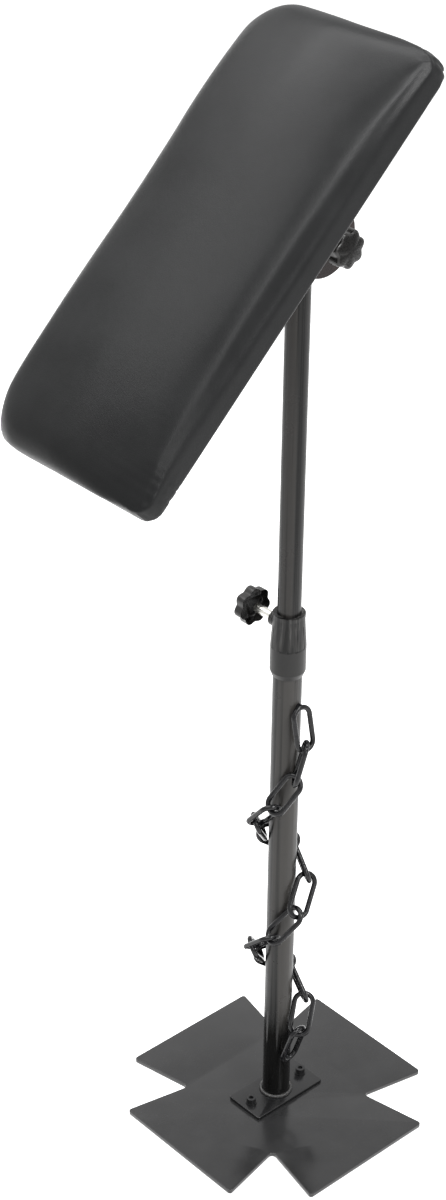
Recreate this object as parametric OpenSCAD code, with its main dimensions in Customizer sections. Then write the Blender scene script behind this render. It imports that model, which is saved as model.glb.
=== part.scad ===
// Free-standing arm rest stand for a tattoo or salon chair: a notched steel base plate, a
// two-piece telescoping column with a clamp knob, a chain wound round the lower tube, and a
// padded rest on a tilting bracket. Millimetres, +Z up, origin at the middle of the base
// plate's underside. The pad's long side runs along Y and its hinge lies along X.

/* [Base plate] */
// Side of the square that the base plate is cut from
base_size = 240; // [180:1:320]
// Thickness of the base plate
base_t = 4; // [3:0.5:8]
// Width of each arm's straight outer edge
arm_end_w = 140; // [100:1:160]
// Distance of a notch's root from each centre line of the plate
notch_root = 57; // [45:1:64]
// Rounding of the plate's outer tips
tip_r = 3.5; // [1:0.5:8]
// Rounding at the root of a notch
notch_r = 6; // [1:0.5:10]

/* [Foot flange] */
// Length of the foot flange, along Y
flange_l = 80; // [74:1:100]
// Width of the foot flange, along X
flange_w = 40; // [34:1:60]
// Thickness of the foot flange
flange_t = 3; // [2:0.5:6]
// Corner rounding of the foot flange
flange_r = 2; // [1:0.5:6]
// Distance between the two foot screws
foot_screw_gap = 62; // [56:1:66]
// Thread diameter of the foot screws
foot_screw_d = 5; // [4:0.5:6]
// Head diameter of the foot screws
foot_head_d = 8.5; // [7.5:0.5:10]
// Head height of the foot screws
foot_head_h = 5; // [4:0.5:8]
// Outer diameter of the foot screws' washers
foot_washer_d = 10; // [9:0.5:12]
// Thickness of the foot screws' washers
foot_washer_t = 1.2; // [0.8:0.1:2]
// Leg length of the weld bead round the tube's foot
foot_weld_leg = 3; // [2:0.5:5]

/* [Column] */
// Outer diameter of the lower tube
lower_tube_d = 25; // [24:0.5:27]
// Wall of the lower tube
lower_tube_wall = 1.5; // [1:0.1:1.6]
// Height of the lower tube's top end above the floor
lower_tube_top = 490; // [470:1:560]
// Outer diameter of the upper tube
upper_tube_d = 20; // [18:0.5:20]
// Wall of the upper tube
upper_tube_wall = 1.5; // [1:0.1:2]
// Height of the upper tube's bottom end above the floor
upper_tube_bottom = 340; // [320:1:380]
// Length of the guide bush inside the lower tube
bush_l = 40; // [20:1:60]
// Thickness of the bush's lip on top of the lower tube
bush_lip_t = 5; // [2:0.5:6]
// Length of the glide plug below the upper tube
plug_l = 12; // [8:1:20]
// Length of the glide plug's spigot inside the upper tube
plug_spigot_l = 10; // [6:1:20]

/* [Collar] */
// Largest diameter of the collar
collar_d = 30.5; // [29:0.1:32]
// Diameter of the collar under its rim
collar_top_d = 26.4; // [24.5:0.1:28]
// Depth of the collar's sleeve below the lower tube's top end
sleeve_drop = 30; // [20:1:50]
// Height of the chamfer at the bottom of the sleeve
sleeve_chamfer_h = 5; // [2:0.5:8]
// Distance of the collar's seam below the lower tube's top end
seam_drop = 2; // [1:0.5:4]
// Height of the collar's upper cap
cap_h = 31; // [26:0.5:45]
// Height of the rim round the cap's top
cap_rim_h = 3.5; // [2:0.5:5]
// Distance that the rim stands out of the cap's side
cap_rim_proud = 0.6; // [0.2:0.1:1]
// Height of the neck that centres the cap on the sleeve
neck_h = 4; // [2:0.5:6]
// Wall of the neck
neck_wall = 0.8; // [0.6:0.1:1]
// Number of flutes round the cap
flutes = 12; // [6:1:16]
// Diameter of the cutter that leaves one flute
flute_d = 3; // [2:0.5:4]
// Depth of a flute
flute_depth = 0.4; // [0.2:0.1:0.6]
// Diameter of the screw boss on the cap
boss_d = 14; // [12.5:0.5:15]
// Distance from the column's axis to the end of the boss
boss_reach = 18; // [17:0.5:26]
// Height of the boss above the lower tube's top end
boss_rise = 16; // [14:0.5:18]

/* [Knobs] */
// Thread diameter of the clamp stud and of the hinge bolt
clamp_d = 8; // [6:1:8]
// Thread pitch of the clamp stud and of the hinge bolt
clamp_pitch = 1.25; // [0.8:0.05:1.5]
// Number of lobes on a knob
knob_lobes = 7; // [5:1:9]
// Thickness of a knob's head
knob_head_t = 12; // [8:0.5:16]
// Diameter of a knob's hub
hub_d = 17; // [15:0.5:20]
// Length of a knob's hub
hub_l = 11; // [6:0.5:16]
// Diameter across the lobes of the height knob
height_knob_d = 34; // [30:0.5:40]
// Diameter across the lobes of the tilt knob
tilt_knob_d = 31; // [29:0.5:40]
// Distance from the boss to the height knob's hub
height_knob_gap = 9; // [3:0.5:12]
// Outer diameter of the threaded inserts
insert_d = 11; // [10:0.5:12]
// Length of the threaded insert in the cap's boss
boss_insert_l = 5; // [4:0.5:5.5]
// Length of the threaded insert in the tilt knob
knob_insert_l = 12; // [8:0.5:16]
// Length of the stud inside the height knob
stud_grip = 12; // [8:0.5:18]

/* [Hinge] */
// Height of the hinge's axis above the floor
hinge_h = 853; // [780:1:900]
// Angle of the pad above level at rest
tilt_angle = 44; // [0:1:80]
// Outer diameter of the pivot sleeve
pivot_d = 22; // [20:0.5:26]
// Thickness of the welded joint round the upper tube's top
pivot_weld_t = 2.5; // [1:0.5:3]
// Width across the outside of the bracket's ears
bracket_w = 56; // [50:1:70]
// Thickness of the bracket's steel
bracket_t = 3; // [2:0.5:4]
// Radius of the bracket's ears
ear_r = 30; // [22:1:34]
// Outer bend radius between the ears and the bracket's base
bend_r = 4; // [3:0.5:6]
// Distance from the hinge's axis to the pad's underside
pad_offset = 46.5; // [42:0.5:60]
// Diameter of the friction washers between the sleeve and the ears
friction_d = 24; // [18:0.5:30]
// Thickness of the friction washers
friction_t = 1.5; // [1:0.1:2]
// Width across the flats of the hinge bolt's head
bolt_head_af = 13; // [12:0.5:14]
// Height of the hinge bolt's head
bolt_head_h = 5.3; // [4:0.1:7]
// Outer diameter of the hinge bolt's washers
bolt_washer_d = 16; // [14:0.5:20]
// Thickness of the hinge bolt's washers
bolt_washer_t = 1.6; // [1:0.1:2]
// Length of the hinge bolt inside the tilt knob
bolt_grip = 17; // [12:0.5:19]

/* [Pad] */
// Length of the pad
pad_l = 391; // [320:1:480]
// Width of the pad
pad_w = 165; // [140:1:220]
// Thickness of the pad from its underside to its crest
pad_t = 60; // [54:1:80]
// Distance of the pad's middle from the hinge, towards its low end
pad_shift = 59; // [0:1:80]
// Corner radius of the pad at its underside
pad_corner_r = 18; // [12:1:30]
// Corner radius of the pad at its shoulder
shoulder_corner_r = 60; // [30:1:70]
// Reach of the rounded shoulder in from the pad's side
shoulder_in = 22; // [14:1:40]
// Height of the rounded shoulder
shoulder_h = 26; // [14:1:30]
// Crown of the pad across its width
crown_h = 4; // [1:0.5:8]
// Depth of the dip at the middle of the pad's length
dip_h = 4; // [0:0.5:8]
// Fall of the pad's top towards its two ends
end_fall = 9; // [0:0.5:10]
// Thickness of the cover
skin_t = 1.2; // [0.8:0.1:2]
// Width of the cover's hem under the board
hem_w = 24; // [18:1:36]
// Thickness of the pad's board
board_t = 12; // [9:1:18]
// Thickness of the dust cover
dust_t = 0.6; // [0.4:0.1:1]
// Width of the dust cover's rim over the hem
dust_rim_w = 12; // [8:1:15]

/* [Pad fasteners] */
// Spacing of the bracket screws along X
pad_screw_x = 28; // [20:1:32]
// Spacing of the bracket screws along the pad
pad_screw_y = 40; // [24:1:44]
// Thread diameter of the bracket screws
pad_screw_d = 6; // [4:0.5:6]
// Head diameter of the bracket screws
pad_head_d = 11; // [9:0.5:12]
// Head height of the bracket screws
pad_head_h = 4; // [2.5:0.5:5]
// Barrel diameter of the tee nuts
tee_barrel_d = 8; // [7.5:0.1:9]
// Flange diameter of the tee nuts
tee_flange_d = 19; // [16:0.5:22]
// Thickness of the tee nuts' flange
tee_flange_t = 1.2; // [0.8:0.1:2]
// Barrel length of the tee nuts
tee_barrel_l = 8; // [5:0.5:8.5]
// Wire thickness of the staples
staple_wire = 0.7; // [0.5:0.1:1]
// Width of a staple's crown
staple_w = 12; // [8:0.5:14]
// Length of a staple's legs
staple_leg = 8; // [5:0.5:10]
// Largest distance between two staples
staple_step = 40; // [25:1:60]

/* [Chain] */
// Diameter of the chain's wire
wire_d = 4.6; // [4:0.1:4.8]
// Inner length of a link
link_inner_l = 35; // [34.5:0.5:36]
// Inner width of a link
link_inner_w = 12; // [11.5:0.5:12.5]
// Height at which the chain's upper end is held
chain_top = 429; // [425:1:440]
// Direction of the chain's upper end, from +X
chain_start_angle = 5; // [-180:1:180]

/* [Hidden] */
$fn = 64;

// Radial clearance of a piece that turns or slides on another
run_gap = 0.05;
// Clearance of a piece that is seated and doesn't move
seat_gap = 0.05;
// Clearance of a drilled hole round a fastener
hole_gap = 0.25;
// Clearance of the pad's layers inside their cover
layer_gap = 0.2;
// Play of two links where they hook into each other
hook_play = 2.2;
// Clearance of the wound links from the lower tube
chain_gap = 0.4;
// Distance of the chain's held ends from the lower tube, past their own wire
chain_end_gap = 1.3;
// Overrun of a cut past the face that it opens
cut = 1;
// Facets of the pad's corners
corner_steps = 5;
// Facets of a plate's rounded corners
plate_steps = 6;

lower_r = lower_tube_d / 2;
lower_bore_r = lower_r - lower_tube_wall;
upper_r = upper_tube_d / 2;
upper_bore_r = upper_r - upper_tube_wall;
flange_top = base_t + flange_t;
collar_r = collar_d / 2;
collar_top_r = collar_top_d / 2;
sleeve_bore_r = lower_r + seat_gap;
neck_r = sleeve_bore_r + neck_wall;
seam_z = lower_tube_top - seam_drop;
cap_top = seam_z + cap_h;
boss_z = lower_tube_top + boss_rise;
lip_top = lower_tube_top + bush_lip_t;
clamp_r = clamp_d / 2;
stud_tip = upper_r + run_gap;
height_hub_end = boss_reach + height_knob_gap;
pivot_r = pivot_d / 2;
ear_in = bracket_w / 2 - bracket_t;
pivot_half = ear_in - friction_t - 2 * run_gap;
bracket_base_top = pad_offset + skin_t - dust_t;
bracket_base_low = bracket_base_top - bracket_t;
tilt_washer_end = bracket_w / 2 + bolt_washer_t;
// Length of the tilt knob's insert that stands out of the hub
insert_proud = 1.4;
tilt_hub_end = tilt_washer_end + run_gap + insert_proud;
board_low = pad_offset + skin_t;
board_top = board_low + board_t;

// One rounded corner of an outline, as points on the arc that touches both of its sides
function corner(before, at, after, r, steps) =
    let(
        a = (before - at) / norm(before - at),
        b = (after - at) / norm(after - at),
        half = acos(a * b) / 2,
        mid = (a + b) / norm(a + b),
        centre = at + mid * r / sin(half),
        from = at + a * r / tan(half) - centre,
        to = at + b * r / tan(half) - centre,
        sweep = 180 - 2 * half
    )
    [for (i = [0:steps])
        centre + (from * sin(sweep * (1 - i / steps)) + to * sin(sweep * i / steps)) / sin(sweep)];

// A closed outline with the radius that is given for each of its corners
function rounded(points, radii, steps) =
    let(n = len(points))
    [for (i = [0:n - 1])
        each corner(points[(i + n - 1) % n], points[i], points[(i + 1) % n], radii[i], steps)];

function box_points(l, w) = [[w / 2, l / 2], [-w / 2, l / 2], [-w / 2, -l / 2], [w / 2, -l / 2]];

module rounded_box(l, w, r, t) {
    linear_extrude(t) polygon(rounded(box_points(l, w), [r, r, r, r], plate_steps));
}

module tube(r, bore, from, to) {
    difference() {
        translate([0, 0, from]) cylinder(r = r, h = to - from);
        translate([0, 0, from - cut]) cylinder(r = bore, h = to - from + 2 * cut);
    }
}

// A shaft along +X between two places
module shaft_x(r, from, to) {
    translate([from, 0, 0]) rotate([0, 90, 0]) cylinder(r = r, h = to - from);
}

module ring_x(r, bore, from, to) {
    difference() {
        shaft_x(r, from, to);
        shaft_x(bore, from - cut, to + cut);
    }
}

// Base plate and foot

base_corners = let(s = base_size / 2, a = arm_end_w / 2, n = notch_root)
    [for (q = [0:3]) each
        [for (p = [[s, a], [n, n], [a, s]])
            [p[0] * cos(90 * q) - p[1] * sin(90 * q), p[0] * sin(90 * q) + p[1] * cos(90 * q)]]];
base_radii = [for (q = [0:3]) each [tip_r, notch_r, tip_r]];

module at_foot_screws() {
    for (side = [-1, 1]) translate([0, side * foot_screw_gap / 2, 0]) children();
}

module base_plate() color([0.16, 0.16, 0.17]) {
    difference() {
        linear_extrude(base_t) polygon(rounded(base_corners, base_radii, plate_steps));
        at_foot_screws() translate([0, 0, -cut])
            cylinder(d = foot_screw_d + 2 * seat_gap, h = base_t + 2 * cut);
    }
}

module foot_flange() color([0.08, 0.08, 0.085]) {
    difference() {
        translate([0, 0, base_t]) rounded_box(flange_l, flange_w, flange_r, flange_t);
        at_foot_screws() translate([0, 0, base_t - cut])
            cylinder(d = foot_screw_d + 2 * hole_gap, h = flange_t + 2 * cut);
    }
}

module foot_weld() color([0.1, 0.1, 0.1]) {
    translate([0, 0, flange_top]) rotate_extrude()
        translate([lower_r + seat_gap, 0]) intersection() {
            circle(r = foot_weld_leg);
            square(foot_weld_leg);
        }
}

foot_head_low = flange_top + foot_washer_t;
// Depth and width of the hexagon socket as shares of the head
socket_depth_share = 0.5;
socket_width_share = 0.55;

module foot_screws() color([0.06, 0.06, 0.06]) {
    at_foot_screws() difference() {
        union() {
            translate([0, 0, foot_head_low]) cylinder(d = foot_head_d, h = foot_head_h);
            translate([0, 0, seat_gap]) cylinder(d = foot_screw_d, h = foot_head_low);
        }
        translate([0, 0, foot_head_low + foot_head_h * (1 - socket_depth_share)])
            cylinder(d = foot_head_d * socket_width_share, h = foot_head_h, $fn = 6);
    }
}

module foot_washers() color([0.1, 0.1, 0.1]) {
    at_foot_screws() translate([0, 0, flange_top]) difference() {
        cylinder(d = foot_washer_d, h = foot_washer_t);
        translate([0, 0, -cut])
            cylinder(d = foot_screw_d + hole_gap, h = foot_washer_t + 2 * cut);
    }
}

// Column and collar

module lower_tube() color([0.2, 0.2, 0.2]) tube(lower_r, lower_bore_r, flange_top, lower_tube_top);

module guide_bush() color([0.05, 0.05, 0.05]) {
    bush_low = lower_tube_top - bush_l;
    rotate_extrude() polygon([
        [upper_r + run_gap, bush_low],
        [lower_bore_r - seat_gap, bush_low],
        [lower_bore_r - seat_gap, lower_tube_top],
        [lower_r, lower_tube_top],
        [lower_r, lip_top],
        [upper_r + run_gap, lip_top]]);
}

module collar_sleeve() color([0.12, 0.12, 0.12]) {
    sleeve_low = lower_tube_top - sleeve_drop;
    rotate_extrude() polygon([
        [sleeve_bore_r, sleeve_low],
        [neck_r, sleeve_low],
        [collar_r, sleeve_low + sleeve_chamfer_h],
        [collar_r, seam_z],
        [neck_r, seam_z],
        [neck_r, seam_z + neck_h],
        [sleeve_bore_r, seam_z + neck_h]]);
}

// Lean of the cap's side, from its largest radius at the seam to its rim
cap_lean = atan((collar_r - collar_top_r) / cap_h);

// Directions of the flutes, all round but for the boss
flute_turns = [for (i = [0:flutes - 1]) let(turn = 360 * (i + 1 / 2) / flutes)
    if (abs(turn - 180) > 180 / flutes) turn];

module collar_cap() color([0.12, 0.12, 0.12]) {
    difference() {
        union() {
            translate([0, 0, seam_z]) cylinder(r1 = collar_r, r2 = collar_top_r, h = cap_h);
            translate([0, 0, cap_top - cap_rim_h])
                cylinder(r = collar_top_r + cap_rim_proud, h = cap_rim_h);
            translate([0, 0, boss_z]) mirror([1, 0, 0]) shaft_x(boss_d / 2, 0, boss_reach);
        }
        translate([0, 0, seam_z - cut]) cylinder(r = neck_r + seat_gap, h = neck_h + cut + seat_gap);
        translate([0, 0, seam_z]) cylinder(r = lower_r + 2 * seat_gap, h = lip_top - seam_z + seat_gap);
        translate([0, 0, seam_z]) cylinder(r = upper_r + hole_gap, h = cap_h + cut);
        translate([0, 0, boss_z]) mirror([1, 0, 0]) {
            shaft_x(clamp_r + hole_gap, 0, boss_reach + cut);
            shaft_x(insert_d / 2 + seat_gap, boss_reach - boss_insert_l, boss_reach + cut);
        }
        for (turn = flute_turns) rotate([0, 0, turn])
            translate([collar_r + flute_d / 2 - flute_depth, 0, seam_z]) rotate([0, -cap_lean, 0])
                translate([0, 0, -flute_d]) cylinder(d = flute_d, h = cap_h - boss_d / 2);
    }
}

module boss_insert() color([0.75, 0.73, 0.68]) {
    translate([0, 0, boss_z]) mirror([1, 0, 0])
        ring_x(insert_d / 2, clamp_r + run_gap, boss_reach - boss_insert_l + seat_gap, boss_reach);
}

// Knobs. The head's lobes stand out of a round core, and its face is dished.

// Depth of the face's dish and reach of the chamfers as shares of the head's thickness
dish_share = 0.12;
knob_chamfer_share = 0.12;
// Radius of a lobe and depth of a gap between lobes as shares of the knob's radius
lobe_share = 0.3;
valley_share = 0.15;

// A knob along +X whose hub starts at the given place
module star_knob(d, hub_from, bore_r, bore_l) {
    r = d / 2;
    lobe_r = r * lobe_share;
    chamfer = knob_head_t * knob_chamfer_share;
    dish = knob_head_t * dish_share;
    dish_r = (r * r + dish * dish) / (2 * dish);
    head_from = hub_from + hub_l;
    step = 360 / knob_lobes;
    difference() {
        union() {
            shaft_x(hub_d / 2, hub_from, head_from + cut);
            translate([head_from, 0, 0]) rotate([0, 90, 0]) {
                cylinder(r = r * (1 - valley_share), h = knob_head_t);
                for (i = [0:knob_lobes - 1]) rotate([0, 0, step * i]) translate([r - lobe_r, 0, 0]) {
                    cylinder(r1 = lobe_r - chamfer, r2 = lobe_r, h = chamfer);
                    translate([0, 0, chamfer]) cylinder(r = lobe_r, h = knob_head_t - 2 * chamfer);
                    translate([0, 0, knob_head_t - chamfer])
                        cylinder(r1 = lobe_r, r2 = lobe_r - chamfer, h = chamfer);
                }
            }
        }
        translate([head_from + knob_head_t + dish_r - dish, 0, 0]) sphere(r = dish_r, $fn = 96);
        shaft_x(bore_r, hub_from - cut, hub_from + bore_l);
    }
}

module height_stud() color([0.8, 0.8, 0.78]) {
    translate([0, 0, boss_z]) mirror([1, 0, 0])
        shaft_x(clamp_r, stud_tip, height_hub_end + stud_grip - seat_gap);
}

module height_knob() color([0.06, 0.06, 0.06]) {
    translate([0, 0, boss_z]) mirror([1, 0, 0])
        star_knob(height_knob_d, height_hub_end, clamp_r + run_gap, stud_grip);
}

// Upper tube and pivot

module glide_plug() color([0.05, 0.05, 0.05]) {
    translate([0, 0, upper_tube_bottom - seat_gap - plug_l])
        cylinder(r = lower_bore_r - 2 * run_gap, h = plug_l);
    translate([0, 0, upper_tube_bottom - seat_gap - cut])
        cylinder(r = upper_bore_r - run_gap, h = plug_spigot_l + cut);
}

module upper_tube() color([0.15, 0.15, 0.15]) {
    difference() {
        tube(upper_r, upper_bore_r, upper_tube_bottom, hinge_h);
        translate([0, 0, hinge_h]) shaft_x(pivot_r + seat_gap, -pivot_r, pivot_r);
    }
}

module pivot_sleeve() color([0.15, 0.15, 0.15]) {
    translate([0, 0, hinge_h]) ring_x(pivot_r, clamp_r + run_gap, -pivot_half, pivot_half);
}

module pivot_weld() color([0.1, 0.1, 0.1]) {
    band = pivot_r + pivot_weld_t;
    difference() {
        intersection() {
            translate([0, 0, hinge_h - band]) cylinder(r = upper_r + pivot_weld_t, h = band);
            translate([0, 0, hinge_h]) shaft_x(band, -band, band);
        }
        translate([0, 0, hinge_h - band - cut])
            cylinder(r = upper_r + seat_gap, h = band + 2 * cut);
        translate([0, 0, hinge_h]) shaft_x(pivot_r + seat_gap, -band - cut, band + cut);
    }
}

module friction_washers() color([0.2, 0.12, 0.08]) {
    translate([0, 0, hinge_h]) for (side = [0, 1]) mirror([side, 0, 0])
        ring_x(friction_d / 2, clamp_r + run_gap, pivot_half + run_gap, ear_in - run_gap);
}

// Tilting bracket and hinge bolt, in the pad's own frame: the hinge's axis is its X axis, its
// Y axis runs up the pad, and its Z axis is square to the pad

module in_pad() {
    translate([0, 0, hinge_h]) rotate([tilt_angle, 0, 0]) children();
}

module at_pad_screws() {
    for (x = [-1, 1], y = [-1, 1]) translate([x * pad_screw_x / 2, y * pad_screw_y / 2, 0]) children();
}

module bracket_profile() {
    half = bracket_w / 2;
    low = -ear_r;
    top = bracket_base_top;
    difference() {
        union() {
            translate([-half, low]) square([bracket_w, top - low - bend_r]);
            translate([-half + bend_r, low]) square([bracket_w - 2 * bend_r, top - low]);
            for (side = [-1, 1]) translate([side * (half - bend_r), top - bend_r]) circle(r = bend_r);
        }
        translate([-ear_in, low - cut]) square([2 * ear_in, bracket_base_low - low + cut]);
    }
}

module tilt_bracket() color([0.14, 0.13, 0.12]) {
    half = bracket_w / 2;
    in_pad() difference() {
        intersection() {
            rotate([90, 0, 0]) linear_extrude(2 * ear_r, center = true) bracket_profile();
            union() {
                shaft_x(ear_r, -half - cut, half + cut);
                translate([-half - cut, -ear_r, 0])
                    cube([bracket_w + 2 * cut, 2 * ear_r, bracket_base_top + cut]);
            }
        }
        shaft_x(clamp_r + run_gap, -half - cut, half + cut);
        at_pad_screws() translate([0, 0, bracket_base_low - cut])
            cylinder(d = pad_screw_d + 2 * hole_gap, h = bracket_t + 2 * cut);
    }
}

module hinge_bolt() color([0.55, 0.55, 0.53]) {
    head = bracket_w / 2 + bolt_washer_t + 2 * seat_gap;
    in_pad() {
        shaft_x(clamp_r, -head, tilt_hub_end + bolt_grip);
        translate([-head - bolt_head_h, 0, 0]) rotate([0, 90, 0])
            cylinder(d = bolt_head_af / cos(30), h = bolt_head_h, $fn = 6);
    }
}

module bolt_washers() color([0.7, 0.7, 0.68]) {
    in_pad() for (side = [0, 1]) mirror([side, 0, 0])
        ring_x(bolt_washer_d / 2, clamp_r + run_gap, bracket_w / 2 + seat_gap, tilt_washer_end);
}

module knob_insert() color([0.75, 0.6, 0.3]) {
    from = tilt_washer_end + run_gap;
    in_pad() ring_x(insert_d / 2, clamp_r + run_gap, from, from + knob_insert_l);
}

module tilt_knob() color([0.06, 0.06, 0.06]) {
    in_pad() difference() {
        star_knob(tilt_knob_d, tilt_hub_end, clamp_r + hole_gap, bolt_grip + 2 * cut);
        shaft_x(insert_d / 2 + run_gap, 0, tilt_washer_end + 2 * run_gap + knob_insert_l);
    }
}

// Pad fasteners

module bracket_screws() color([0.65, 0.65, 0.63]) {
    in_pad() at_pad_screws() {
        translate([0, 0, bracket_base_low - pad_head_h]) cylinder(d = pad_head_d, h = pad_head_h);
        translate([0, 0, bracket_base_low - cut])
            cylinder(d = pad_screw_d, h = board_top - tee_flange_t - bracket_base_low + cut);
    }
}

module tee_nuts() color([0.7, 0.7, 0.65]) {
    in_pad() at_pad_screws() translate([0, 0, board_top]) difference() {
        union() {
            translate([0, 0, -tee_flange_t]) cylinder(d = tee_flange_d, h = tee_flange_t);
            translate([0, 0, -tee_flange_t - tee_barrel_l])
                cylinder(d = tee_barrel_d, h = tee_barrel_l + tee_flange_t);
        }
        translate([0, 0, -board_t]) cylinder(d = pad_screw_d + 2 * seat_gap, h = board_t + cut);
    }
}

// Pad. Every layer is a loft of rings with the same number of points, from the middle of its
// top over the shoulder and down its side. A ring lies some way in from the pad's outline.

long_steps = 8;
short_steps = 3;

// Points between two others, without the ends
function between(a, b, steps) = [for (i = [1:steps - 1]) a + (b - a) * i / steps];

function arc(centre, r, from) =
    [for (i = [0:corner_steps])
        let(t = from + 90 * i / corner_steps) centre + r * [cos(t), sin(t)]];

// Outline of a rounded box, with extra points along its sides
function ring_outline(l, w, r) =
    let(
        a = l / 2 - r,
        b = w / 2 - r,
        c = [arc([b, a], r, 0), arc([-b, a], r, 90), arc([-b, -a], r, 180), arc([b, -a], r, 270)]
    )
    [for (q = [0:3])
        each concat(c[q],
            between(c[q][corner_steps], c[(q + 1) % 4][0], q % 2 == 0 ? short_steps : long_steps))];

// Height of the shoulder along the pad: two crests with a dip between, and a fall to each end
function crest(y) =
    let(u = y * 2 / pad_l)
    pad_t - crown_h - dip_h * pow(1 - u * u, 4) - end_fall * pow(u, 4);

// Rise of the crown across the pad
function crown(x) =
    let(v = x / (pad_w / 2 - shoulder_in)) abs(v) < 1 ? crown_h * (1 - v * v) : 0;

// Angles of the shoulder's rings and scales of the top's rings
shoulder_angles = [0, 18, 36, 54, 72, 90];
top_shares = [0.2, 0.5, 0.8];
inner_top_r = 8;

// Rings from the pad's middle to the foot of its shoulder, a given depth under the surface
function upper_rings(depth) =
    let(
        l = pad_l - 2 * depth,
        w = pad_w - 2 * depth,
        rx = shoulder_in - depth,
        rz = shoulder_h - depth,
        flat_l = l - 2 * rx,
        flat_w = w - 2 * rx
    )
    concat(
        [for (s = top_shares)
            [for (p = ring_outline(flat_l * (1 + s) / 2, flat_w * s, inner_top_r * s))
                [p[0], p[1], crest(p[1]) + crown(p[0]) - depth]]],
        [for (i = [len(shoulder_angles) - 1:-1:0])
            let(
                t = shoulder_angles[i],
                inset = rx * (1 - cos(t)),
                full_r = pad_corner_r + (shoulder_corner_r - pad_corner_r) * sin(t),
                r = max(inner_top_r, full_r - depth - inset)
            )
            [for (p = ring_outline(l - 2 * inset, w - 2 * inset, r))
                [p[0], p[1], crest(p[1]) - depth - rz * (1 - sin(t))]]]);

// Corner radius of the hem's inner edge
hem_corner_r = 2;

// A level ring under the shoulder, some way in from the pad's outline
function lower_ring(depth, z, inset) =
    let(
        in = depth + inset,
        r = max(hem_corner_r, pad_corner_r - in)
    )
    [for (p = ring_outline(pad_l - 2 * in, pad_w - 2 * in, r)) [p[0], p[1], z]];

// The same rings in the opposite order
function turned(rings) = [for (k = [len(rings) - 1:-1:0]) rings[k]];

// Faces between rings, with a point that closes each end. A core splits its faces the other way,
// as they lie on the inside of a cover.
function loft_points(rings, first, last) = concat([first], [for (r = rings) each r], [last]);
function split(a, b, n, core) =
    core ? [[a, b, a + n], [b, b + n, a + n]] : [[a, b, b + n], [a, b + n, a + n]];
function loft_faces(rings, core) =
    let(n = len(rings[0]), m = len(rings), end = n * m + 1)
    concat(
        [for (j = [0:n - 1]) [0, 1 + (j + 1) % n, 1 + j]],
        [for (k = [0:m - 2], j = [0:n - 1])
            let(a = 1 + k * n + j, b = 1 + k * n + (j + 1) % n) each split(a, b, n, core)],
        [for (j = [0:n - 1]) [end, end - n + j, end - n + (j + 1) % n]]);

module loft(rings, first, last, core = false) {
    polyhedron(points = loft_points(rings, first, last), faces = loft_faces(rings, core), convexity = 4);
}

// The pad's frame: middle of its underside, with its own height upwards
module in_cushion() {
    in_pad() translate([0, -pad_shift, pad_offset]) children();
}

top_z = crest(0) + crown_h;

module pad_board() color([0.6, 0.45, 0.28]) {
    inset = skin_t + layer_gap;
    in_pad() difference() {
        translate([0, -pad_shift, board_low])
            rounded_box(pad_l - 2 * inset, pad_w - 2 * inset, pad_corner_r - inset, board_t);
        at_pad_screws() {
            translate([0, 0, board_low - cut])
                cylinder(d = tee_barrel_d + 2 * seat_gap, h = board_t + 2 * cut);
            translate([0, 0, board_top - tee_flange_t - seat_gap])
                cylinder(d = tee_flange_d + 2 * seat_gap, h = board_t);
        }
    }
}

module pad_foam() color([0.85, 0.8, 0.6]) {
    depth = skin_t + layer_gap;
    low = skin_t + board_t + seat_gap;
    rings = concat(upper_rings(depth), [lower_ring(depth, low, 0)]);
    in_cushion() loft(rings, [0, 0, top_z - depth], [0, 0, low], core = true);
}

// The cover's lower edge is rounded as far as the cover is thick
module pad_cover() color([0.13, 0.13, 0.135]) {
    rings = concat(
        upper_rings(0),
        [lower_ring(0, skin_t, 0),
         lower_ring(0, 0, skin_t),
         lower_ring(0, 0, hem_w),
         lower_ring(0, skin_t, hem_w),
         lower_ring(skin_t, skin_t, 0)],
        turned(upper_rings(skin_t)));
    in_cushion() loft(rings, [0, 0, top_z], [0, 0, top_z - skin_t]);
}

module dust_cover() color([0.03, 0.03, 0.03]) {
    inner = hem_w + layer_gap;
    outer = hem_w - dust_rim_w;
    in_cushion() difference() {
        union() {
            translate([0, 0, -dust_t])
                rounded_box(pad_l - 2 * outer, pad_w - 2 * outer, pad_corner_r, dust_t);
            translate([0, 0, -dust_t])
                rounded_box(pad_l - 2 * inner, pad_w - 2 * inner, pad_corner_r, dust_t + skin_t);
        }
        translate([0, 0, -dust_t - cut])
            rounded_box(pad_l - 2 * (inner + dust_t), pad_w - 2 * (inner + dust_t), pad_corner_r,
                cut + skin_t);
        translate([0, pad_shift, 0]) at_pad_screws() cylinder(d = pad_screw_d + 2 * hole_gap, h = board_t);
    }
}

module staple() {
    translate([-staple_w / 2, -staple_wire / 2, -staple_wire])
        cube([staple_w, staple_wire, staple_wire]);
    for (side = [-1, 1])
        translate([side * (staple_w - staple_wire) / 2 - staple_wire / 2, -staple_wire / 2, -staple_wire])
            cube([staple_wire, staple_wire, staple_leg]);
}

module staples() color([0.7, 0.7, 0.7]) {
    in = hem_w - dust_rim_w / 2;
    along = pad_l - 2 * in - 2 * pad_corner_r;
    across = pad_w - 2 * in - 2 * pad_corner_r;
    long_n = ceil(along / staple_step);
    short_n = ceil(across / staple_step);
    in_cushion() translate([0, 0, -dust_t]) {
        for (side = [-1, 1], i = [0:long_n])
            translate([side * (pad_w / 2 - in), -along / 2 + along * i / long_n, 0])
                rotate([0, 0, 90]) staple();
        for (side = [-1, 1], i = [0:short_n])
            translate([-across / 2 + across * i / short_n, side * (pad_l / 2 - in), 0]) staple();
    }
}

// Chain. Neighbouring links hook into each other at points round the lower tube. Where a link
// crosses the front it is steep and stands on edge, and where it passes behind it lies flatter
// against the tube and turns further.

links = 15;
// Angle round the tube from each link's upper hook to its lower one
link_turns = [0, 25, 45, 50, 55, 80, 70, 50, 50, 55, 55, 80, 70, 30, 15];
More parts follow.
